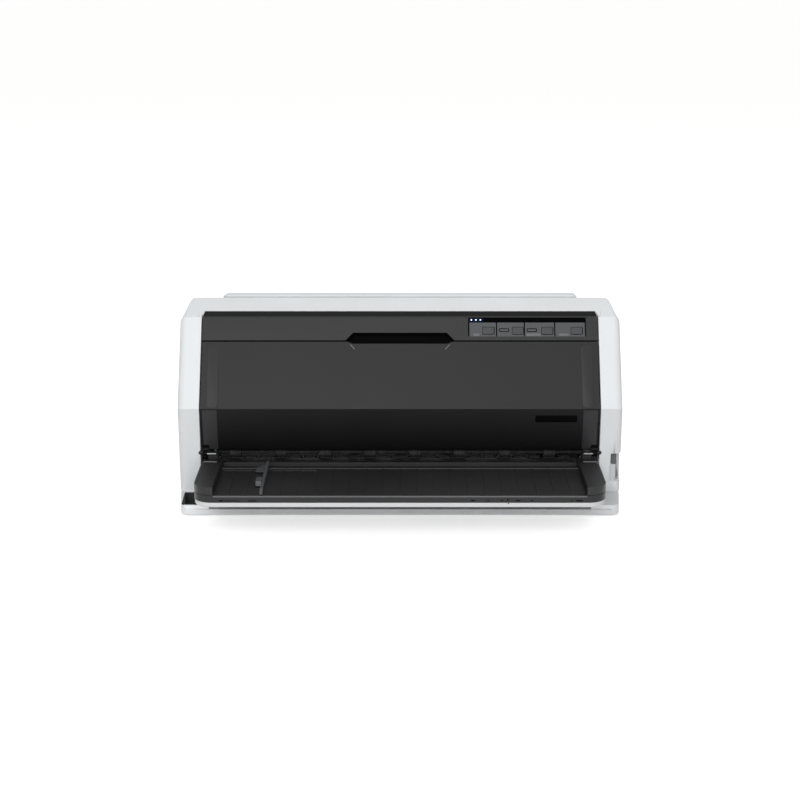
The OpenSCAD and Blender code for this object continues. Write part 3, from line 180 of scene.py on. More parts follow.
# %% Floor
floor_glow = 0.55
floor_mat = bpy.data.materials.new("painted_backdrop")
floor_mat.use_nodes = True
paint = floor_mat.node_tree.nodes["Principled BSDF"]
paint.inputs["Roughness"].default_value = 0.9
paint.inputs["Specular IOR Level"].default_value = 0.1
paint.inputs["Emission Color"].default_value = linear("#FFFFFF")
tree = floor_mat.node_tree
eye = backdrop_rays(tree)
lift = add(tree, "Math", {0: eye, 1: floor_glow}, operation="MULTIPLY")
tone = add(tree, "Mix", {0: eye, 6: linear("#B0B0AF"), 7: linear("#F4F4F3")}, data_type="RGBA")
tree.links.new(lift.outputs[0], paint.inputs["Emission Strength"])
tree.links.new(tone.outputs[2], paint.inputs["Base Color"])
bpy.ops.mesh.primitive_circle_add(vertices=96, radius=60, fill_type="NGON", location=(0, 0, 0))
floor = bpy.context.object
floor.name = "floor"
floor.data.materials.append(floor_mat)
bpy.context.scene.view_settings.view_transform = "Standard"
print("floor glow that the camera sees:", floor_glow)

# %% [markdown]
# ## Materials
#
# Nearly everything outside is ABS, moulded in a steel tool whose walls were
# roughened by sparks, so the parts come out matt with a fine orange-peel
# grain. What separates the parts is colour and how coarse that grain is.
# The real grain is about 0.3 mm, too fine for this picture, so it is drawn a
# few times coarser and very shallow. A slow cloud of a slightly different
# shade stands for handling and dust. Noise nodes are used rather than
# pictures, because they follow any shape without a seam or a UV map.


# %% Start of a material
def per_metre(size):
    """Pattern scale for a feature of that size in millimetres."""
    return 1 / (size * mm)


def new_material(name):
    """An empty material, its node tree, its shader and the object's coordinates."""
    material = bpy.data.materials.new(name)
    material.use_nodes = True
    tree = material.node_tree
    place = add(tree, "TexCoord").outputs["Object"]
    return material, tree, tree.nodes["Principled BSDF"], place


def colour_mix(tree, amount, first, second):
    """The socket of a colour that goes from the first to the second with the amount."""
    first, second = (linear(c) if isinstance(c, str) else c for c in (first, second))
    return add(tree, "Mix", {0: amount, 6: first, 7: second}, data_type="RGBA").outputs[2]


# %% Moulded plastics
def moulded(name, shade, cloud, grain, depth, roughness, sheen=0.5):
    """ABS out of a spark-roughened tool: grain as bump and roughness, a slow cloud as colour.

    A coarse grain traps some of the mirrored light, which `sheen` below 0.5 stands for.
    """
    material, tree, shader, place = new_material(name)
    slow = add(tree, "TexNoise", {"Vector": place, "Scale": per_metre(90), "Detail": 4.0})
    amount = add(tree, "MapRange", {"Value": slow.outputs[0], "From Min": 0.35, "From Max": 0.65})
    sparks = add(tree, "TexNoise", {"Vector": place, "Scale": per_metre(grain), "Detail": 2.0})
    bump = add(tree, "Bump", {"Height": sparks.outputs[0], "Distance": depth * mm, "Strength": 1.0})
    gloss = add(tree, "MapRange", {"Value": slow.outputs[0], "To Min": roughness - 0.07,
                                   "To Max": roughness + 0.07})
    shader.inputs["IOR"].default_value = 1.54
    shader.inputs["Specular IOR Level"].default_value = sheen
    tree.links.new(colour_mix(tree, amount.outputs[0], shade, cloud), shader.inputs["Base Color"])
    tree.links.new(gloss.outputs[0], shader.inputs["Roughness"])
    tree.links.new(bump.outputs[0], shader.inputs["Normal"])
    return material


finishes = {
    # White ABS: matt, a trace of warmth where it has yellowed
    "white_plastic": moulded("ABS_white_spark_grain", "#E7EAED", "#E4E7E8", 1.1, 0.02, 0.56),
    # Light grey ABS of the base, a coarser grain that hides scuffs
    "base_plastic": moulded("ABS_light_grey_base", "#CFD1D3", "#CBCDCF", 1.4, 0.03, 0.6),
    # Charcoal ABS of the strip and the cover
    "dark_plastic": moulded("ABS_charcoal_spark_grain", "#171718", "#1B1B1C", 1.1, 0.025, 0.52, 0.26),
    # Black ABS of the table, worn a little smoother by paper
    "table_plastic": moulded("ABS_black_table", "#0D0D0E", "#101011", 0.9, 0.012, 0.42, 0.4),
    # Mid grey ABS of the buttons, the rocker and the edge guide
    "grey_plastic": moulded("ABS_slate_grey", "#37383A", "#3D3E40", 0.9, 0.012, 0.45, 0.35),
    # Black nylon of the sockets
    "port_plastic": moulded("nylon_black_socket", "#0F0F10", "#151516", 0.8, 0.02, 0.5),
}
print("moulded plastics:", sorted(finishes))

# %% [markdown]
# The control panel is a printed polycarbonate film glued on a plate. Film is
# printed from behind, so its surface is one even, fine-grained skin whatever
# the colour under it. The rubber of the rollers is ground, which leaves it
# dull, while a little talc greys it.


# %% Film, rubber and gear plastic
def film(name, shade, sheen=0.15):
    """Matt polycarbonate film: one colour, fine silk grain."""
    material, tree, shader, place = new_material(name)
    silk = add(tree, "TexNoise", {"Vector": place, "Scale": per_metre(0.6), "Detail": 2.0})
    tone = colour_mix(tree, silk.outputs[0], shade[0], shade[1])
    bump = add(tree, "Bump", {"Height": silk.outputs[0], "Distance": 0.006 * mm, "Strength": 1.0})
    shader.inputs["IOR"].default_value = 1.58
    shader.inputs["Specular IOR Level"].default_value = sheen
    shader.inputs["Roughness"].default_value = 0.4
    tree.links.new(tone, shader.inputs["Base Color"])
    tree.links.new(bump.outputs[0], shader.inputs["Normal"])
    return material


def ground_rubber(name):
    """Nitrile rubber ground to size: dull black with pale talc in faint rings round the roller."""
    material, tree, shader, place = new_material(name)
    rings = add(tree, "Mapping", {"Vector": place, "Scale": (1.0, 0.05, 0.05)})
    grind = add(tree, "TexNoise", {"Vector": rings.outputs[0], "Scale": per_metre(1.2), "Detail": 4.0})
    talc = add(tree, "MapRange", {"Value": grind.outputs[0], "From Min": 0.45, "From Max": 0.75})
    bump = add(tree, "Bump", {"Height": grind.outputs[0], "Distance": 0.03 * mm, "Strength": 1.0})
    shader.inputs["Roughness"].default_value = 0.8
    shader.inputs["IOR"].default_value = 1.52
    tree.links.new(colour_mix(tree, talc.outputs[0], "#151515", "#3A3A39"), shader.inputs["Base Color"])
    tree.links.new(bump.outputs[0], shader.inputs["Normal"])
    return material


def acetal(name):
    """White acetal, as gears are moulded in: waxy, light passes a little way in."""
    material, tree, shader, place = new_material(name)
    flow = add(tree, "TexNoise", {"Vector": place, "Scale": per_metre(7), "Detail": 3.0})
    shader.inputs["Roughness"].default_value = 0.35
    shader.inputs["IOR"].default_value = 1.48
    shader.inputs["Subsurface Weight"].default_value = 0.25
    shader.inputs["Subsurface Scale"].default_value = 1.5 * mm
    tree.links.new(colour_mix(tree, flow.outputs[0], "#DCD9CE", "#E8E6DD"), shader.inputs["Base Color"])
    return material


finishes["panel_film"] = film("polycarbonate_film_black", ("#020203", "#040405"), 0.01)
finishes["rubber"] = ground_rubber("nitrile_rubber_ground")
finishes["gear_plastic"] = acetal("acetal_white")

# %% [markdown]
# ## Metals
#
# The frames are zinc-plated sheet, whose crystals give a faint patchwork.
# Shafts are ground in a lathe, so their scratches run round them, which makes
# the highlight a streak along the rod. The carriage parts are die-cast, with
# a soft bright skin.


# %% Metals
def metal(name, shades, size, stretch, roughness, depth):
    """A metal whose scratches or crystals are noise stretched along the working direction."""
    material, tree, shader, place = new_material(name)
    along = add(tree, "Mapping", {"Vector": place, "Scale": stretch})
    marks = add(tree, "TexNoise", {"Vector": along.outputs[0], "Scale": per_metre(size), "Detail": 4.0})
    cells = add(tree, "TexVoronoi", {"Vector": place, "Scale": per_metre(size * 9)})
    patch = add(tree, "SeparateColor", {0: cells.outputs["Color"]})
    blend = add(tree, "Math", {0: marks.outputs[0], 1: patch.outputs[0]}, operation="MULTIPLY")
    gloss = add(tree, "MapRange", {"Value": marks.outputs[0], "To Min": roughness - 0.08,
                                   "To Max": roughness + 0.1})
    bump = add(tree, "Bump", {"Height": marks.outputs[0], "Distance": depth * mm, "Strength": 1.0})
    shader.inputs["Metallic"].default_value = 1.0
    tree.links.new(colour_mix(tree, blend.outputs[0], *shades), shader.inputs["Base Color"])
    tree.links.new(gloss.outputs[0], shader.inputs["Roughness"])
    tree.links.new(bump.outputs[0], shader.inputs["Normal"])
    return material


finishes["sheet_steel"] = metal("steel_zinc_plated", ("#B4B6B8", "#D2D3D2"), 1.2, (1, 1, 1), 0.38, 0.01)
finishes["ground_steel"] = metal("steel_ground", ("#C2C4C6", "#DADBDC"), 0.8, (1, 0.04, 0.04), 0.24, 0.004)
finishes["motor_metal"] = metal("steel_motor_can", ("#6E7073", "#8B8D90"), 1.0, (0.1, 1, 1), 0.42, 0.01)
finishes["die_cast"] = metal("aluminium_die_cast", ("#A9ABAD", "#C4C5C6"), 1.6, (1, 1, 1), 0.46, 0.03)
finishes["bronze"] = metal("bronze_sintered", ("#8C6A35", "#B98D4C"), 0.5, (1, 1, 1), 0.5, 0.02)

# %% [markdown]
# The circuit boards are glass epoxy under green lacquer. Copper tracks show
# through it as lighter lines, here nested squares 25 mm wide with nine lines
# across. The chips stand on the board in the same CAD solid, so the height
# decides: above the board's face it is black resin. The status lamps are
# clear resin too, and glow most at the tip, where the lens gathers the light.


# %% Circuit board and lamps
def circuit_board(name, board_top):
    """Green lacquer with tracks in nested squares, and black resin above board_top, in metres."""
    material, tree, shader, place = new_material(name)
    axes = add(tree, "SeparateXYZ", {0: place})
    wander = add(tree, "TexVoronoi", {"Vector": place, "Scale": per_metre(25), "Randomness": 0.6},
                 distance="CHEBYCHEV")
    rings = add(tree, "Math", {0: wander.outputs["Distance"], 1: 9.0}, operation="MULTIPLY")
    wave = add(tree, "Math", {0: rings.outputs[0]}, operation="FRACT")
    track = add(tree, "Math", {0: wave.outputs[0], 1: 0.6}, operation="GREATER_THAN")
    lacquer = colour_mix(tree, track.outputs[0], "#0E3B22", "#1B5A36")
    height = add(tree, "Math", {0: axes.outputs["Z"], 1: board_top}, operation="GREATER_THAN")
    shader.inputs["Roughness"].default_value = 0.32
    tree.links.new(colour_mix(tree, height.outputs[0], lacquer, "#18191A"), shader.inputs["Base Color"])
    return material


def lamp_glow(name):
    """A water-clear LED: pale body, blue-white light that is strongest at its tip."""
    material, tree, shader, _ = new_material(name)
    facing = add(tree, "LayerWeight", {"Blend": 0.35})
    glow = colour_mix(tree, facing.outputs["Facing"], "#F4FAFF", "#8FBBFF")
    shader.inputs["Roughness"].default_value = 0.15
    shader.inputs["Base Color"].default_value = linear("#DDE8F5")
    shader.inputs["Emission Strength"].default_value = 1.1
    tree.links.new(glow, shader.inputs["Emission Color"])
    return material


laminate_top = 7.7
board_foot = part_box("main_board")[0].z
finishes["circuit_board"] = circuit_board("glass_epoxy_board", board_foot + laminate_top * mm)
finishes["lamp"] = lamp_glow("led_epoxy_blue_white")

slot_of = {part["node"]: part["material_slot"] for part in frame["record"]["subparts"]}
for name, node in frame["nodes"].items():
    node.data.materials.clear()
    node.data.materials.append(finishes[slot_of[name]])
print("materials on", len(frame["nodes"]), "CAD nodes")

# %% [markdown]
# ## Rounded edges
#
# No moulded edge is sharp: the tool has a small radius everywhere, and that
# radius catches the light as a thin line. The CAD shapes are right but their
# edges are hard, so each visible one is copied, its loose triangles are merged
# and a Bevel modifier rounds every edge that turns sharply. The copy then
# stands for the node. The casing's long side edges have a bigger radius than
# a bevel can turn there, so a formula moves their points onto the round.


# %% Rounded copies of the CAD pieces
def body_name(node):
    """The moving body that a CAD node belongs to."""
    return frame["nodes"][node]["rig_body"]


def put(piece, body):
    """Links a finished piece and makes it ride on its body."""
    if piece.name not in bpy.context.scene.collection.objects:
        bpy.context.scene.collection.objects.link(piece)
    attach(piece, body)
    return piece


def rounded_copy(node, radius, sharpest=32, prepare=None, smooth=True):
    """The node's own shape with every edge over `sharpest` degrees rounded to `radius` mm.

    `prepare` changes the form first and returns the vertices that it has already rounded. Those
    keep their edges, and so does a sliver, a face too thin to hold the radius.
    """
    mesh = frame["nodes"][node].data.copy()
    form = bmesh.new()
    form.from_mesh(mesh)
    bmesh.ops.remove_doubles(form, verts=form.verts, dist=0.002 * mm)
    softened = prepare(form) if prepare else set()
    for face in form.faces:
        face.smooth = smooth and (not softened or softened.issuperset(face.verts))
    weight = form.edges.layers.float.new("bevel_weight_edge")
    for edge in form.edges:
        sliver = min(face.calc_area() for face in edge.link_faces) < 0.01 * mm ** 2
        turns = edge.calc_face_angle(0.0) > math.radians(sharpest)
        if turns and not sliver and not softened & set(edge.verts):
            edge[weight] = 1.0
    form.to_mesh(mesh)
    form.free()
    if "custom_normal" in mesh.attributes:
        mesh.attributes.remove(mesh.attributes["custom_normal"])
    piece = bpy.data.objects.new(node + "_moulded", mesh)
    bpy.context.scene.collection.objects.link(piece)
    bevel = piece.modifiers.new("edge radius", "BEVEL")
    bevel.width = radius * mm
    bevel.segments = 2
    bevel.limit_method = "WEIGHT"
    bevel.use_clamp_overlap = False
    bevel.miter_outer = "MITER_ARC"
    if smooth:
        shade = piece.modifiers.new("even shading", "WEIGHTED_NORMAL")
        shade.mode = "FACE_AREA"
        shade.weight = 100
        shade.thresh = 0.5
    put(piece, body_name(node))
    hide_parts(node)
    return piece


# %% Radius of each node's edges in mm
edge_radii = {
    "upper_casing": 0.8, "rear_lid": 0.9, "base_pan": 0.7, "front_fascia": 0.35, "front_cover": 0.5,
    "button_panel": 0.15, "cover_hinges": 0.3, "paper_table": 0.25, "table_shell": 0.7,
    "table_end_caps": 0.8, "edge_guide": 0.35, "power_switch_bezel": 0.25, "power_rocker": 0.35,
    "ribbon_cartridge": 0.4, "carriage": 0.3, "power_supply": 0.4, "rear_ports": 0.25,
    "carriage_motor": 0.4, "paper_guide": 0.2, "left_tractor": 0.4, "right_tractor": 0.4,
}
edge_radii.update({button + "_button": 0.5 for button in ("tear_off", "line_feed", "load_eject", "pause")})
print("edge radii from", min(edge_radii.values()), "to", max(edge_radii.values()), "mm")


# %% The casing's side contour
def fillet_sides(form, half_width=240.0, radius=8.0, steps=4):
    """Rounds the casing's side contour, the edge between each side wall and the outline.

    Depth is measured two ways, a from the side wall and b from the nearest outline face. A point
    of the square a, b < radius that lies outside the quarter circle is drawn back onto it. The
    triangles of the flat rear wall are joined, and the vertices of the rounding are returned.
    """
    # In mm: farther than any face, and the slack of a comparison
    far, hair = 1e3, 0.01
    points = np.array([v.co for v in form.verts]) / mm
    flat = np.unique(points[np.abs(points[:, 0]) > half_width - hair][:, 1:].round(3), axis=0)
    corners = flat[convex_hull_2d([tuple(p) for p in flat])]
    along = np.roll(corners, -1, 0) - corners
    corners = corners[np.linalg.norm(along, axis=1) > 0.3]
    along = np.roll(corners, -1, 0) - corners
    along /= np.linalg.norm(along, axis=1)[:, None]
    outward = np.stack([along[:, 1], -along[:, 0]], 1)
    kept = outward[:, 1] > -0.9
    cuts = radius * (1 - np.tan(np.linspace(0, math.pi / 4, steps + 1)[:-1]))

    def depth(place):
        return np.einsum("fk,vfk->vf", outward, corners[None] - place[:, None, 1:])

    def cut(point, normal, chosen):
        edges = {edge for face in chosen for edge in face.edges}
        verts = {vert for face in chosen for vert in face.verts}
        bmesh.ops.bisect_plane(form, geom=[*chosen, *edges, *verts], dist=1e-7,
                               plane_co=np.asarray(point) * mm, plane_no=normal)

    def rim(reach):
        """Faces whose every corner is within `reach` mm of the side wall and of the outline."""
        place = np.array([v.co for v in form.verts]) / mm
        inside = ((half_width - np.abs(place[:, 0]) < radius + hair)
                  & (depth(place)[:, kept].min(1) < reach + hair))
        form.verts.index_update()
        return [f for f in form.faces if all(inside[v.index] for v in f.verts)]

    for a in cuts:
        for side in (-1, 1):
            cut((side * (half_width - a), 0, 0), (1, 0, 0), form.faces[:])
    for b in cuts:
        for face in np.flatnonzero(kept):
            chosen = rim(far if b == cuts[0] else radius)
            cut((0, *(corners[face] - b * outward[face])), (0, *outward[face]), chosen)
    for face in np.flatnonzero(kept):
        if kept[face - 1]:
            mitre = outward[face] - outward[face - 1]
            cut((0, *corners[face]), (0, *(mitre / np.linalg.norm(mitre))), rim(radius))

    place = np.array([v.co for v in form.verts]) / mm
    b_all = np.where(kept, depth(place), far)
    a, b = half_width - np.abs(place[:, 0]), b_all.min(1)
    u, v = radius - a, radius - b
    reach = np.hypot(u, v)
    moved = (a < radius) & (b < radius) & (reach > radius)
    shrink = np.where(moved, radius / np.maximum(reach, 1e-9), 1.0)
    inset = (1 - shrink) * v
    place[:, 0] = np.where(moved, np.sign(place[:, 0]) * (half_width - radius + u * shrink), place[:, 0])
    for index in np.flatnonzero(moved):
        near = np.flatnonzero(b_all[index] < b[index] + 0.005)
        step = np.linalg.lstsq(outward[near], -np.full(len(near), inset[index]), rcond=None)[0]
        place[index, 1:] += step
    for vert, co in zip(form.verts, place * mm):
        vert.co = co
    in_corner = (a < radius + hair) & (b < radius + hair)
    softened = {vert for vert, inside in zip(form.verts, in_corner) if inside}
    rear_wall = cad_box[1].y - 0.1 * mm
    flat = [edge for edge in form.edges
            if edge.calc_face_angle(1.0) < 1e-4 and min(v.co.y for v in edge.verts) > rear_wall
            and not softened & set(edge.verts)]
    bmesh.ops.dissolve_edges(form, edges=flat, use_verts=False)
    return softened


# %% Small changes of form
def lean_lid_front(form):
    """Slopes the front and the ends of the lid's raised part, whose CAD edges are square steps."""
    # The front edges by their y and z, and how far each moves outward, back and up
    moves = {(80, 208): (-1.2, 4.0, -1.5), (82, 209.8): (-1.2, 6.0, -1.4)}
    for vert in form.verts:
        x, y, z = (np.array(vert.co) / mm).round(1)
        side = math.copysign(1, x)
        step = moves.get((y, z))
        if step:
            vert.co += Vector((side * step[0], step[1], step[2])) * mm
        # At its two ends, the step's edge goes out and what lies beyond it goes down
        elif y < 83 and z > 205.5 and abs(x) > 198:
            vert.co += Vector((side, 0, 0) if abs(x) < 200 else (0, 0, -1.2)) * mm
    return set()


def widen_well(form):
    """Thins the outer wall of the base's well to the 2.5 mm of a moulded wall."""
    for vert in form.verts:
        x, y, z = np.array(vert.co) / mm
        if abs(x + 230) < 0.1 and -95.5 < y < -59.5 and z > 4:
            vert.co.x = (-230.6 if y < -80 else -234.0) * mm
            vert.co.y = max(y, -92.5) * mm
    return set()


def lengthen_guide(form):
    """Draws the guide's rail out over the table's lip in front and up to its bar behind."""
    for vert in form.verts:
        x, y, z = np.array(vert.co) / mm
        if y < -179:
            vert.co += Vector((0, -4.6, -0.18)) * mm
        elif y > -98.5 and x > -145:
            vert.co += Vector((0, 12, 0.4)) * mm
    return set()


# %% All the rounded pieces
special = {"upper_casing": fillet_sides, "rear_lid": lean_lid_front, "base_pan": widen_well,
           "edge_guide": lengthen_guide}
moulded_pieces = {node: rounded_copy(node, radius, prepare=special.get(node), smooth=node != "rear_lid",
                                     sharpest=36 if node == "upper_casing" else 32)
                  for node, radius in edge_radii.items()}
print("rounded:", {n: len(p.data.polygons) for n, p in moulded_pieces.items()})

# %% [markdown]
# ## The sloping face
#
# The strip above the cover and the cover itself lie in one plane that leans
# back from the prow, the foremost edge of the casing. Everything on the
# control panel is placed in that plane: x across, s up the slope from the
# prow, and a height out of the face.

# %% The plane of the face
prow_y, prow_z, brow_y, brow_z = -66.0, 110.0, -15.5, 201.0
lean = math.atan2(brow_y - prow_y, brow_z - prow_z)
up_face = np.array([0, math.sin(lean), math.cos(lean)])
out_face = np.array([0, -math.cos(lean), math.sin(lean)])
across, back, up = np.eye(3)
print("the face leans back by", round(math.degrees(lean), 2), "degrees")


def on_face(x, s, out=0.0):
    """Millimetre point at x across, s up the slope and out proud of it."""
    return np.array([x, prow_y, prow_z]) + s * up_face + out * out_face


# %% [markdown]
# Some faces differ from the rest of their piece, most of them by painted light
# and shade. Deep recesses read as black, because little light finds its way
# out, so they are painted black as shade. The fronts of the table's lip and
# caps are painted lighter, a painted highlight, and the base's front is
# painted lighter too, painted light. The tops of the strip and the caps, the
# lid's step and the base's well are painted darker, and the cover's lower face
# is painted darker towards the hinges: painted shade.


# %% Faces with a finish of their own
def refinish(piece, material, test):
    """Gives the faces that pass the test, by centre in mm and normal, another material."""
    piece.data.materials.append(material)
    index = len(piece.data.materials) - 1
    for face in piece.data.polygons:
        if test(*(np.array(face.center) / mm), np.array(face.normal)):
            face.material_index = index


def shaded_front(name):
    """Charcoal ABS with painted shade, darker from the prow down to the hinge line at its foot."""
    material = moulded(name, "#1E1E1F", "#222223", 1.1, 0.025, 0.55, 0.1)
    tree = material.node_tree
    shader = tree.nodes["Principled BSDF"]
    height = add(tree, "SeparateXYZ", {0: add(tree, "TexCoord").outputs["Object"]})
    rise = add(tree, "MapRange", {"Value": height.outputs["Z"], "From Min": 62 * mm, "From Max": 108 * mm})
    plain = shader.inputs["Base Color"].links[0].from_socket
    tree.links.new(colour_mix(tree, rise.outputs[0], "#020203", plain), shader.inputs["Base Color"])
    return material


# %% Finishes of single faces, most of them painted light and shade
# Painted shade: black for recesses, gaps, slots and shaded ends where little light gets in; also the black of
# the small stop mark on the trim
shade_and_mark_black = moulded("painted_shade_and_mark_ABS", "#050506", "#070708", 1.1, 0.02, 0.8, 0.05)
# Painted shade: the inside of the base's well, painted dark grey
painted_shade_well = moulded("painted_shade_base_well_ABS", "#2B2B2C", "#2F2F30", 1.1, 0.02, 0.7, 0.2)
# Painted highlight: the front of the table's lip, lighter than the table
lip_front_highlight = moulded("painted_highlight_lip_front_ABS", "#2E2E2F", "#333334", 0.9, 0.012, 0.45, 0.2)
# Painted shade: the top of the strip, darker than its face
brow_painted_shade = moulded("painted_shade_strip_top_ABS", "#0E0F0F", "#121213", 1.1, 0.025, 0.8, 0.05)
# Painted highlight: the fronts of the table's end caps, lighter than the table
cap_front_painted_highlight = moulded("painted_highlight_cap_front_ABS", "#323233", "#373738", 0.9, 0.012, 0.45, 0.2)
# Painted shade: the tops of the caps, the table's black with less sheen so that they read darker
cap_top = moulded("painted_shade_cap_top_ABS", "#0D0D0E", "#101011", 0.9, 0.012, 0.5, 0.22)
trim_white = moulded("ABS_white_trim", "#DEDFE1", "#DADBDD", 1.1, 0.02, 0.5)
# Painted shade: the front of the lid's raised step, darker than the lid
lid_step_painted_shade = moulded("painted_shade_lid_step_ABS", "#CED0D2", "#CBCDCF", 1.1, 0.02, 0.56)
# Painted light: the front of the base, lighter than the rest of the base
painted_light_pan_face = moulded("painted_light_base_front_ABS", "#F6F8FA", "#F2F4F6", 1.4, 0.03, 0.6)
switch_grey = moulded("ABS_switch_grey", "#77787B", "#7D7E81", 0.9, 0.012, 0.45, 0.35)
strip_grey = moulded("ABS_charcoal_strip", "#272728", "#2B2B2C", 1.1, 0.025, 0.52, 0.26)

# %% The faces that take them
notch_half, notch_foot, notch_head = 58, 62, 90


def in_notch(x, y, z, n):
    """True in the finger notch: near the middle, at its height, and over 1 mm deep in the face."""
    from_prow = np.array([x, y, z]) - on_face(0, 0)
    high = notch_foot < from_prow @ up_face < notch_head
    return abs(x) < notch_half and high and from_prow @ out_face < -1


def on_slope(x, y, z, n):
    """True for the strip's outer face, which leans back with the cover."""
    return n[1] < -0.8 and 0.4 < n[2] < 0.6 and not in_notch(x, y, z, n)


def in_well(x, y, z, n):
    """True inside the base's well at the left, apart from the outer faces of its two walls."""
    inside = -234.3 < x < -203.5 and -95.3 < y < -59.5 and 4 < z < 14.9
    outer_side = n[0] < -0.3 and x < -220
    outer_front = n[1] < -0.5 and y < -90
    return inside and not outer_side and not outer_front


# Piece, finish, and which of its faces take it
own_finishes = [
    ("base_pan", painted_shade_well, in_well),
    ("base_pan", painted_light_pan_face, lambda x, y, z, n: n[1] < -0.5 and y < -90),
    ("front_fascia", shade_and_mark_black, in_notch),
    ("front_fascia", brow_painted_shade, lambda x, y, z, n: n[2] > 0.9 and z > 195),
    ("front_fascia", strip_grey, on_slope),
    ("front_cover", shade_and_mark_black, in_notch),
    # The cover's lower face, painted shade that darkens towards its foot, then the faces at the foot painted
    # black as shade
    ("front_cover", shaded_front("painted_shade_lower_face_ABS"), lambda x, y, z, n: n[1] < -0.97 and z < 111),
    ("front_cover", shade_and_mark_black, lambda x, y, z, n: z < 71 and -0.97 < n[1] < -0.7),
    ("paper_table", lip_front_highlight, lambda x, y, z, n: n[1] < -0.6),
    ("table_end_caps", cap_front_painted_highlight, lambda x, y, z, n: n[1] < -0.6),
    ("table_end_caps", cap_top, lambda x, y, z, n: n[2] > 0.8),
    ("table_shell", trim_white, lambda x, y, z, n: True),
    ("rear_lid", lid_step_painted_shade, lambda x, y, z, n: y < 92 and n[1] < -0.15),
    ("power_rocker", switch_grey, lambda x, y, z, n: True),
]
for node, material, test in own_finishes:
    refinish(moulded_pieces[node], material, test)
# The feed shaft's ends beside the table, painted black as shade
refinish(frame["nodes"]["front_feed_shaft"], shade_and_mark_black, lambda x, y, z, n: abs(x) > 206)
print("faces with a finish of their own:", len(own_finishes) + 1, "groups")

# %% [markdown]
# ## Plates and domes
#
# The small parts that the CAD model leaves out are plates, domes, frames and
# screw heads. A scaled cube with a bevel would do for a plate, but not for
# the others, so all of them are worked out the same way: one outline moves
# up, closes in over the height of the rounded edge, and each ring of points
# is joined to the next by quads.


# %% Rings into meshes
def ring_mesh(name, rings, material, smooth=True, closed=False):
    """A skin through a stack of rings: quads between neighbours, and a face on each end.

    With closed=True the last ring joins the first instead, as in a washer.
    """
    rings = np.asarray(rings, float)
    layers, count = rings.shape[:2]
    column = np.arange(count)
    row = np.arange(layers if closed else layers - 1)[:, None] * count
    above = (row + count) % (layers * count)
    quads = np.stack([row + column, row + np.roll(column, -1),
                      above + np.roll(column, -1), above + column], -1).reshape(-1, 4)
    ends = [] if closed else [column[::-1].tolist(), (column + (layers - 1) * count).tolist()]
    mesh = bpy.data.meshes.new(name)
    mesh.from_pydata((rings.reshape(-1, 3) * mm).tolist(), [], quads.tolist() + ends)
    mesh.polygons.foreach_set("use_smooth", [smooth] * len(mesh.polygons))
    mesh.materials.append(material)
    form = bmesh.new()
    form.from_mesh(mesh)
    bmesh.ops.recalc_face_normals(form, faces=form.faces)
    form.to_mesh(mesh)
    form.free()
    return bpy.data.objects.new(name, mesh)


def rounded_outline(width, height, radius, steps=6):
    """Corner arcs of a rectangle: each quarter circle of `radius` about its own centre."""
    quarter = np.linspace(0, math.pi / 2, steps)
    angle = (quarter[None, :] + np.arange(4)[:, None] * math.pi / 2).ravel()
    side = np.repeat([[1, 1], [-1, 1], [-1, -1], [1, -1]], steps, axis=0)
    centre = side * (np.array([width, height]) / 2 - radius)
    return centre + radius * np.stack([np.cos(angle), np.sin(angle)], 1)


def tablet(name, origin, axes, size, radius, rise, edge, material):
    """A plate with rounded corners: the outline shrinks by a quarter circle over its last `edge` mm."""
    turn = np.linspace(0, math.pi / 2, 4)
    inset = np.concatenate([[0], edge * (1 - np.cos(turn))])
    level = np.concatenate([[0], rise - edge + edge * np.sin(turn)])
    rings = []
    for gap, lift in zip(inset, level):
        flat = rounded_outline(size[0] - 2 * gap, size[1] - 2 * gap, max(radius - gap, 0.02))
        rings.append(origin + flat[:, :1] * axes[0] + flat[:, 1:] * axes[1] + lift * axes[2])
    return ring_mesh(name, rings, material)


face_axes = (across, up_face, out_face)

# %% [markdown]
# ## Control panel
#
# The film has a pale rim, a black band with the lamps, and grey fields round
# the buttons with black rules between them. Each colour is its own thin
# patch, as each is its own layer of ink.

# %% Printed fields of the panel
button_x, button_s = np.array([96.2, 128.2, 160.2, 192.2]), 87.87
ink_black = film("film_ink_black", ("#010102", "#030304"), 0.01)
ink_blue = film("film_ink_navy", ("#06102A", "#081A40"), 0.05)
ink_grey = film("film_ink_grey", ("#505253", "#565859"))
ink_pale = film("film_ink_pale_grey", ("#6A6B6E", "#717275"))


def patch(name, x, s, width, height, radius, material, rise=0.1):
    """A printed patch centred at x and s on the panel."""
    piece = tablet(name, on_face(x, s), face_axes, (width, height), radius, rise, 0.03, material)
    return put(piece, body_name("button_panel"))


def window_patch(name, outer, inner, material, rise=0.12):
    """A printed patch, given as x, s, width, height and radius, round an opening given likewise."""
    rings = []
    for (x, s, width, height, radius), lift in ((inner, 0), (outer, 0), (outer, rise), (inner, rise)):
        flat = rounded_outline(width, height, radius)
        rings.append(on_face(x, s, lift) + flat[:, :1] * across + flat[:, 1:] * up_face)
    piece = ring_mesh(name, rings, material, smooth=False, closed=True)
    return put(piece, body_name("button_panel"))


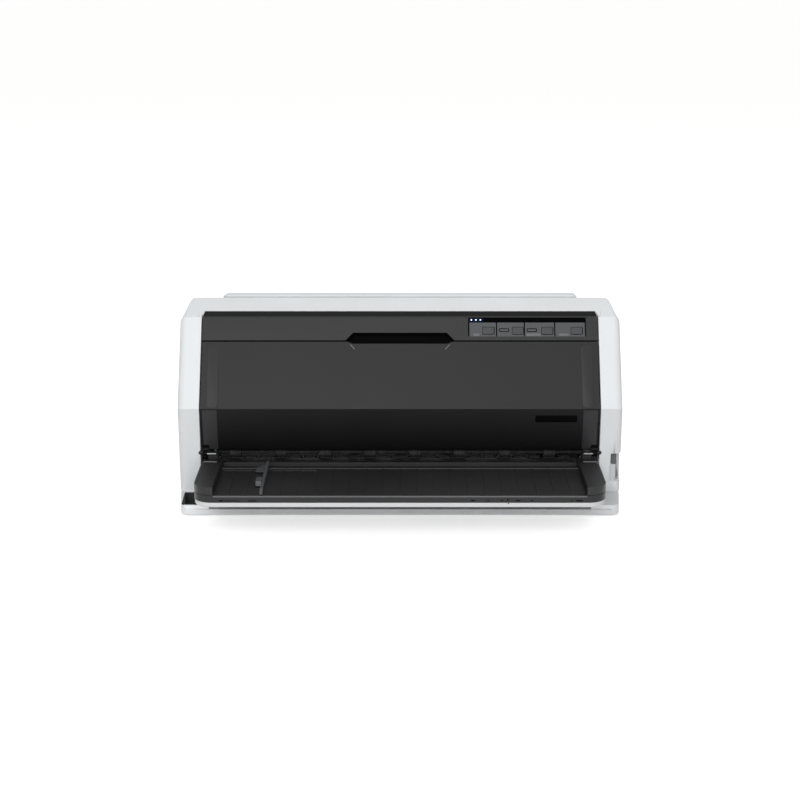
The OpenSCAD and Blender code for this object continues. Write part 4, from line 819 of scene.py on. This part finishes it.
# %% Lamps, fields and labels
lamp_x = (77.7, 82.6, 87.5)
patch("panel_lamp_window", lamp_x[1], 100.2, 15.6, 3.6, 0.4, ink_blue)
rules, rule_width = [74.9, 105.0, 135.3, 168.3, 201.6], 1.3
for index, (left, right) in enumerate(zip(rules, rules[1:])):
    window_patch(f"panel_field_{index}", ((left + right) / 2, 89.3, right - left - rule_width, 15.9, 0.4),
                 (button_x[index], button_s, 13.2, 8.8, 1.0), ink_grey)
for index, x in enumerate((113.1, 143.4)):
    window_patch(f"panel_frame_{index}", (x, 88.6, 11.0, 4.2, 1.2), (x, 88.6, 9.2, 2.4, 0.6), ink_black, 0.2)
for index, (left, right) in enumerate(((79.6, 86.4), (137.0, 153.0), (172.7, 183.5))):
    patch(f"panel_label_{index}", (left + right) / 2, 83.4, right - left, 2.8, 1.3, ink_pale, rise=0.18)
for index, x in enumerate(lamp_x):
    dome = tablet(f"lamp_dome_{index}", on_face(x, 100.3), face_axes, (1.6, 1.6), 0.8, 0.6, 0.5,
                  finishes["lamp"])
    put(dome, body_name("status_lamps"))
print("panel printed with", len(rules) - 1, "fields")

# %% [markdown]
# ## Small parts of the front
#
# The cover has a slightly raised band at each end and a bare badge plate low
# on the right, with a painted glint at each lower corner of the finger notch.
# A short bright strip shows where each hinge pin passes, and a darker plate
# paints the shade in the power switch's recess. The table's lip has a painted
# highlight along its top edge and small slots painted black as shade, and
# black sheets behind the strip above the cover paint the gap with shade, so
# that nobody can look in through it.


# %% Bands, painted glints and plate of the cover
band_material = moulded("ABS_charcoal_band", "#202022", "#242426", 1.1, 0.02, 0.5, 0.28)
for side in (-1, 1):
    band = tablet(f"cover_band_{side}", on_face(side * 202.4, 36.2), face_axes, (12.6, 70), 4.0, 0.35,
                  0.3, band_material)
    put(band, body_name("front_cover"))

# Painted highlights: small light strips at the notch's lower corners, where its edges catch the light
glint = moulded("painted_highlight_notch_edge_ABS", "#58585A", "#5E5E60", 1.1, 0.01, 0.35)
for side in (-1, 1):
    tilt = side * math.radians(47)
    rib_axes = (math.cos(tilt) * across + math.sin(tilt) * up_face,
                -math.sin(tilt) * across + math.cos(tilt) * up_face, out_face)
    rib = tablet(f"notch_painted_glint_{side}", on_face(side * 51.5, 69.6), rib_axes, (7.6, 1.1), 0.5, 0.4, 0.3, glint)
    put(rib, body_name("front_cover"))

# The cover's lower face rises 48 mm from its foot and comes 8 mm forward
lower_up = np.array([0, -8, 48]) / math.hypot(8, 48)
lower_axes = (across, lower_up, np.array([0, -lower_up[2], lower_up[1]]))
foot = np.array([0, -58.0, 62.0])
foot_band = moulded("ABS_charcoal_foot_band", "#242426", "#28282A", 1.1, 0.02, 0.5, 0.28)
for side in (-1, 1):
    band = tablet(f"cover_foot_band_{side}", foot + side * 205.0 * across + 24.0 * lower_up, lower_axes,
                  (16, 46), 1.0, 0.25, 0.2, foot_band)
    put(band, body_name("front_cover"))
badge_black = film("film_badge_black", ("#09090A", "#0C0C0D"), 0.01)
badge = tablet("bare_badge_plate", foot + 168.2 * across + 37.1 * lower_up, lower_axes, (45, 7.9), 1.2,
               0.5, 0.3, badge_black)
put(badge, body_name("front_cover"))
print("lower face of the cover leans by", round(math.degrees(math.atan2(8, 48)), 1), "degrees")

# %% Hinge strips, and the painted shade of the switch recess
# The hinge block's front slopes: its normal leans 2.4 forward for 4 up
slope_out = np.array([0, -2.4, 4.0]) / math.hypot(2.4, 4.0)
slope_axes = (across, slope_out[2] * back - slope_out[1] * up, slope_out)
for side in (-1, 1):
    strip = tablet(f"hinge_strip_{side}", np.array([side * 203.5, -67.4, 60.56]), slope_axes, (10, 1.8),
                   0.6, 0.5, 0.3, finishes["sheet_steel"])
    put(strip, body_name("cover_hinges"))
upright = (across, up, -back)
# Painted shade: a darker grey plate over the rocker's upper end, for the shade of its recess
pill_grey = moulded("painted_shade_switch_recess_ABS", "#57585B", "#5C5D60", 0.9, 0.012, 0.45, 0.35)
pill = tablet("switch_recess_painted_shade", np.array([232.0, -57.0, 52.4]), upright, (6.0, 13.0), 1.8, 0.3, 0.2,
              pill_grey)
put(pill, body_name("power_switch_bezel"))
print("hinge strips and switch plate placed")

# %% The table's lip and end caps
# Painted highlights: light strips along the top edge of the table's lip and along the caps' rear top edges,
# where those edges catch the light
edge_highlight_grey = moulded("painted_highlight_edges_ABS", "#59595B", "#5F5F61", 0.9, 0.01, 0.4)
lip_y = cad_box[0].y / mm
bead = tablet("lip_edge_painted_highlight", np.array([0, lip_y, 48.5]), upright, (380, 1.5), 0.6, 0.2, 0.15, edge_highlight_grey)
put(bead, body_name("paper_table"))
for side in (-1, 1):
    ledge = tablet(f"cap_edge_painted_highlight_{side}", np.array([side * 203.4, -84.0, 56.2]), upright, (14.6, 1.5), 0.5,
                   0.8, 0.3, edge_highlight_grey)
    put(ledge, body_name("table_end_caps"))

# Slots in the lip, painted black as shade, as middle and width; the last two numbers are their height and
# level
slot_shades = [(-181.7, 5, 1.4, 44.1), (-170.6, 16, 0.7, 44.0), (-150.3, 9, 0.9, 44.0), (74.1, 4, 1.4, 44.4),
          (89.8, 2, 1.2, 44.4), (103.6, 2.4, 1.2, 44.4), (109.6, 1.6, 2.4, 45.2), (119.8, 5, 1.2, 44.4),
          (134.0, 3, 1.0, 44.4), (174.6, 2, 1.0, 44.4), (182.2, 7.2, 1.4, 44.2)]
for index, (x, width, height, level) in enumerate(slot_shades):
    slot = tablet(f"lip_slot_shade_{index}", np.array([x, lip_y, level]), upright, (width, height), height / 2.2,
                  0.1, 0.05, shade_and_mark_black)
    put(slot, body_name("paper_table"))
print("lip at y =", round(lip_y, 1), "with", len(slot_shades), "slots")

# %% Behind the strip and under the table
# Black sheets behind the strip and the notch, painted shade that closes the line of sight through the cover's
# upper gap
for side in (-1, 1):
    lip = tablet(f"cover_gap_painted_shade_{side}", on_face(side * 139.5, 78.2, -3.9), face_axes, (143, 4.6), 0.8,
                 1.15, 0.2, shade_and_mark_black)
    put(lip, body_name("front_fascia"))
lip = tablet("notch_back_painted_shade", on_face(0, 75.5, -12.6), face_axes, (144, 17), 0.8, 1.0, 0.2, shade_and_mark_black)
put(lip, body_name("front_fascia"))
shell_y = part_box("table_shell")[0].y / mm
mark = tablet("shell_stop_mark", np.array([110.3, shell_y, 41.0]), upright, (1.3, 1.3), 0.6, 0.15, 0.1,
              shade_and_mark_black)
put(mark, body_name("table_shell"))
print("front details placed")

# %% [markdown]
# ## The rear
#
# Behind are the mains inlet, a 36-way parallel socket and a square data
# socket. The photo doesn't show them, so they follow common practice: steel
# shells, a black tongue with contacts 2.16 mm apart, and flat-headed screws
# that hold the casing on the base.


# %% Screws and sockets
def socket_contacts(name, pitch):
    """Black nylon with gold-plated contacts across it, one every `pitch` mm of its length."""
    material, tree, shader, place = new_material(name)
    axes = add(tree, "SeparateXYZ", {0: place})
    count = add(tree, "Math", {0: axes.outputs["X"], 1: per_metre(pitch)}, operation="MULTIPLY")
    saw = add(tree, "Math", {0: count.outputs[0]}, operation="FRACT")
    gold = add(tree, "Math", {0: saw.outputs[0], 1: 0.5}, operation="GREATER_THAN")
    tree.links.new(colour_mix(tree, gold.outputs[0], "#101011", "#C8A24A"), shader.inputs["Base Color"])
    tree.links.new(gold.outputs[0], shader.inputs["Metallic"])
    shader.inputs["Roughness"].default_value = 0.35
    return material


def screw(name, place, axes, head=3.4, rise=1.1):
    """A low domed head with a hexagonal socket: circles that rise and close in, then hexagons."""
    turn = np.linspace(0, 2 * math.pi, 24, endpoint=False)
    circle = np.ones(24)
    hexagon = math.cos(math.pi / 6) / np.cos((turn + math.pi / 6) % (math.pi / 3) - math.pi / 6)
    levels = [(head * circle, 0), (head * circle, 0.4 * rise), (0.88 * head * circle, 0.85 * rise),
              (0.6 * head * circle, rise), (0.42 * head * hexagon, rise), (0.42 * head * hexagon, 0.2 * rise)]
    spokes = np.outer(np.cos(turn), axes[0]) + np.outer(np.sin(turn), axes[1])
    rings = [place + r[:, None] * spokes + lift * axes[2] for r, lift in levels]
    return ring_mesh(name, rings, finishes["sheet_steel"], smooth=False)


# %% Rear pieces in place
rear_axes = (-across, up, back)
rear_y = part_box("upper_casing")[1].y / mm
port_z, inlet_x, parallel_x, usb_x = 29.0, 164.0, -106.0, -162.0
for index, x in enumerate((-212, -34, 72, 212)):
    fixing = screw(f"rear_screw_{index}", np.array([x, rear_y, 24.0]), rear_axes)
    put(fixing, body_name("upper_casing"))

shells = moulded_pieces["rear_ports"]
refinish(shells, finishes["sheet_steel"],
         lambda x, y, z, n: z > 21.5 and (abs(x - parallel_x) < 30.2 or abs(x - usb_x) < 6.2))
refinish(shells, finishes["circuit_board"], lambda x, y, z, n: z < 21.5 and x < -60)
refinish(shells, finishes["sheet_steel"],
         lambda x, y, z, n: (min(abs(x - inlet_x - pin) for pin in (-7, 0, 7)) < 1.2 and 167.5 < y < 180.5
                             and abs(z - port_z) < 5.3 and not (n[1] > 0.9 and y < 170)))
contacts = tablet("parallel_contacts", np.array([parallel_x, rear_y - 8, port_z]), rear_axes, (43, 3.6),
                  0.8, 5.5, 0.6, socket_contacts("gold_on_nylon", 2.16))
put(contacts, body_name("rear_ports"))
tongue = tablet("data_tongue", np.array([usb_x, rear_y - 9, port_z + 0.6]), rear_axes, (5.2, 3.2), 0.5,
                6.5, 0.5, finishes["white_plastic"])
put(tongue, body_name("rear_ports"))
print("rear details placed at y =", round(rear_y, 1))
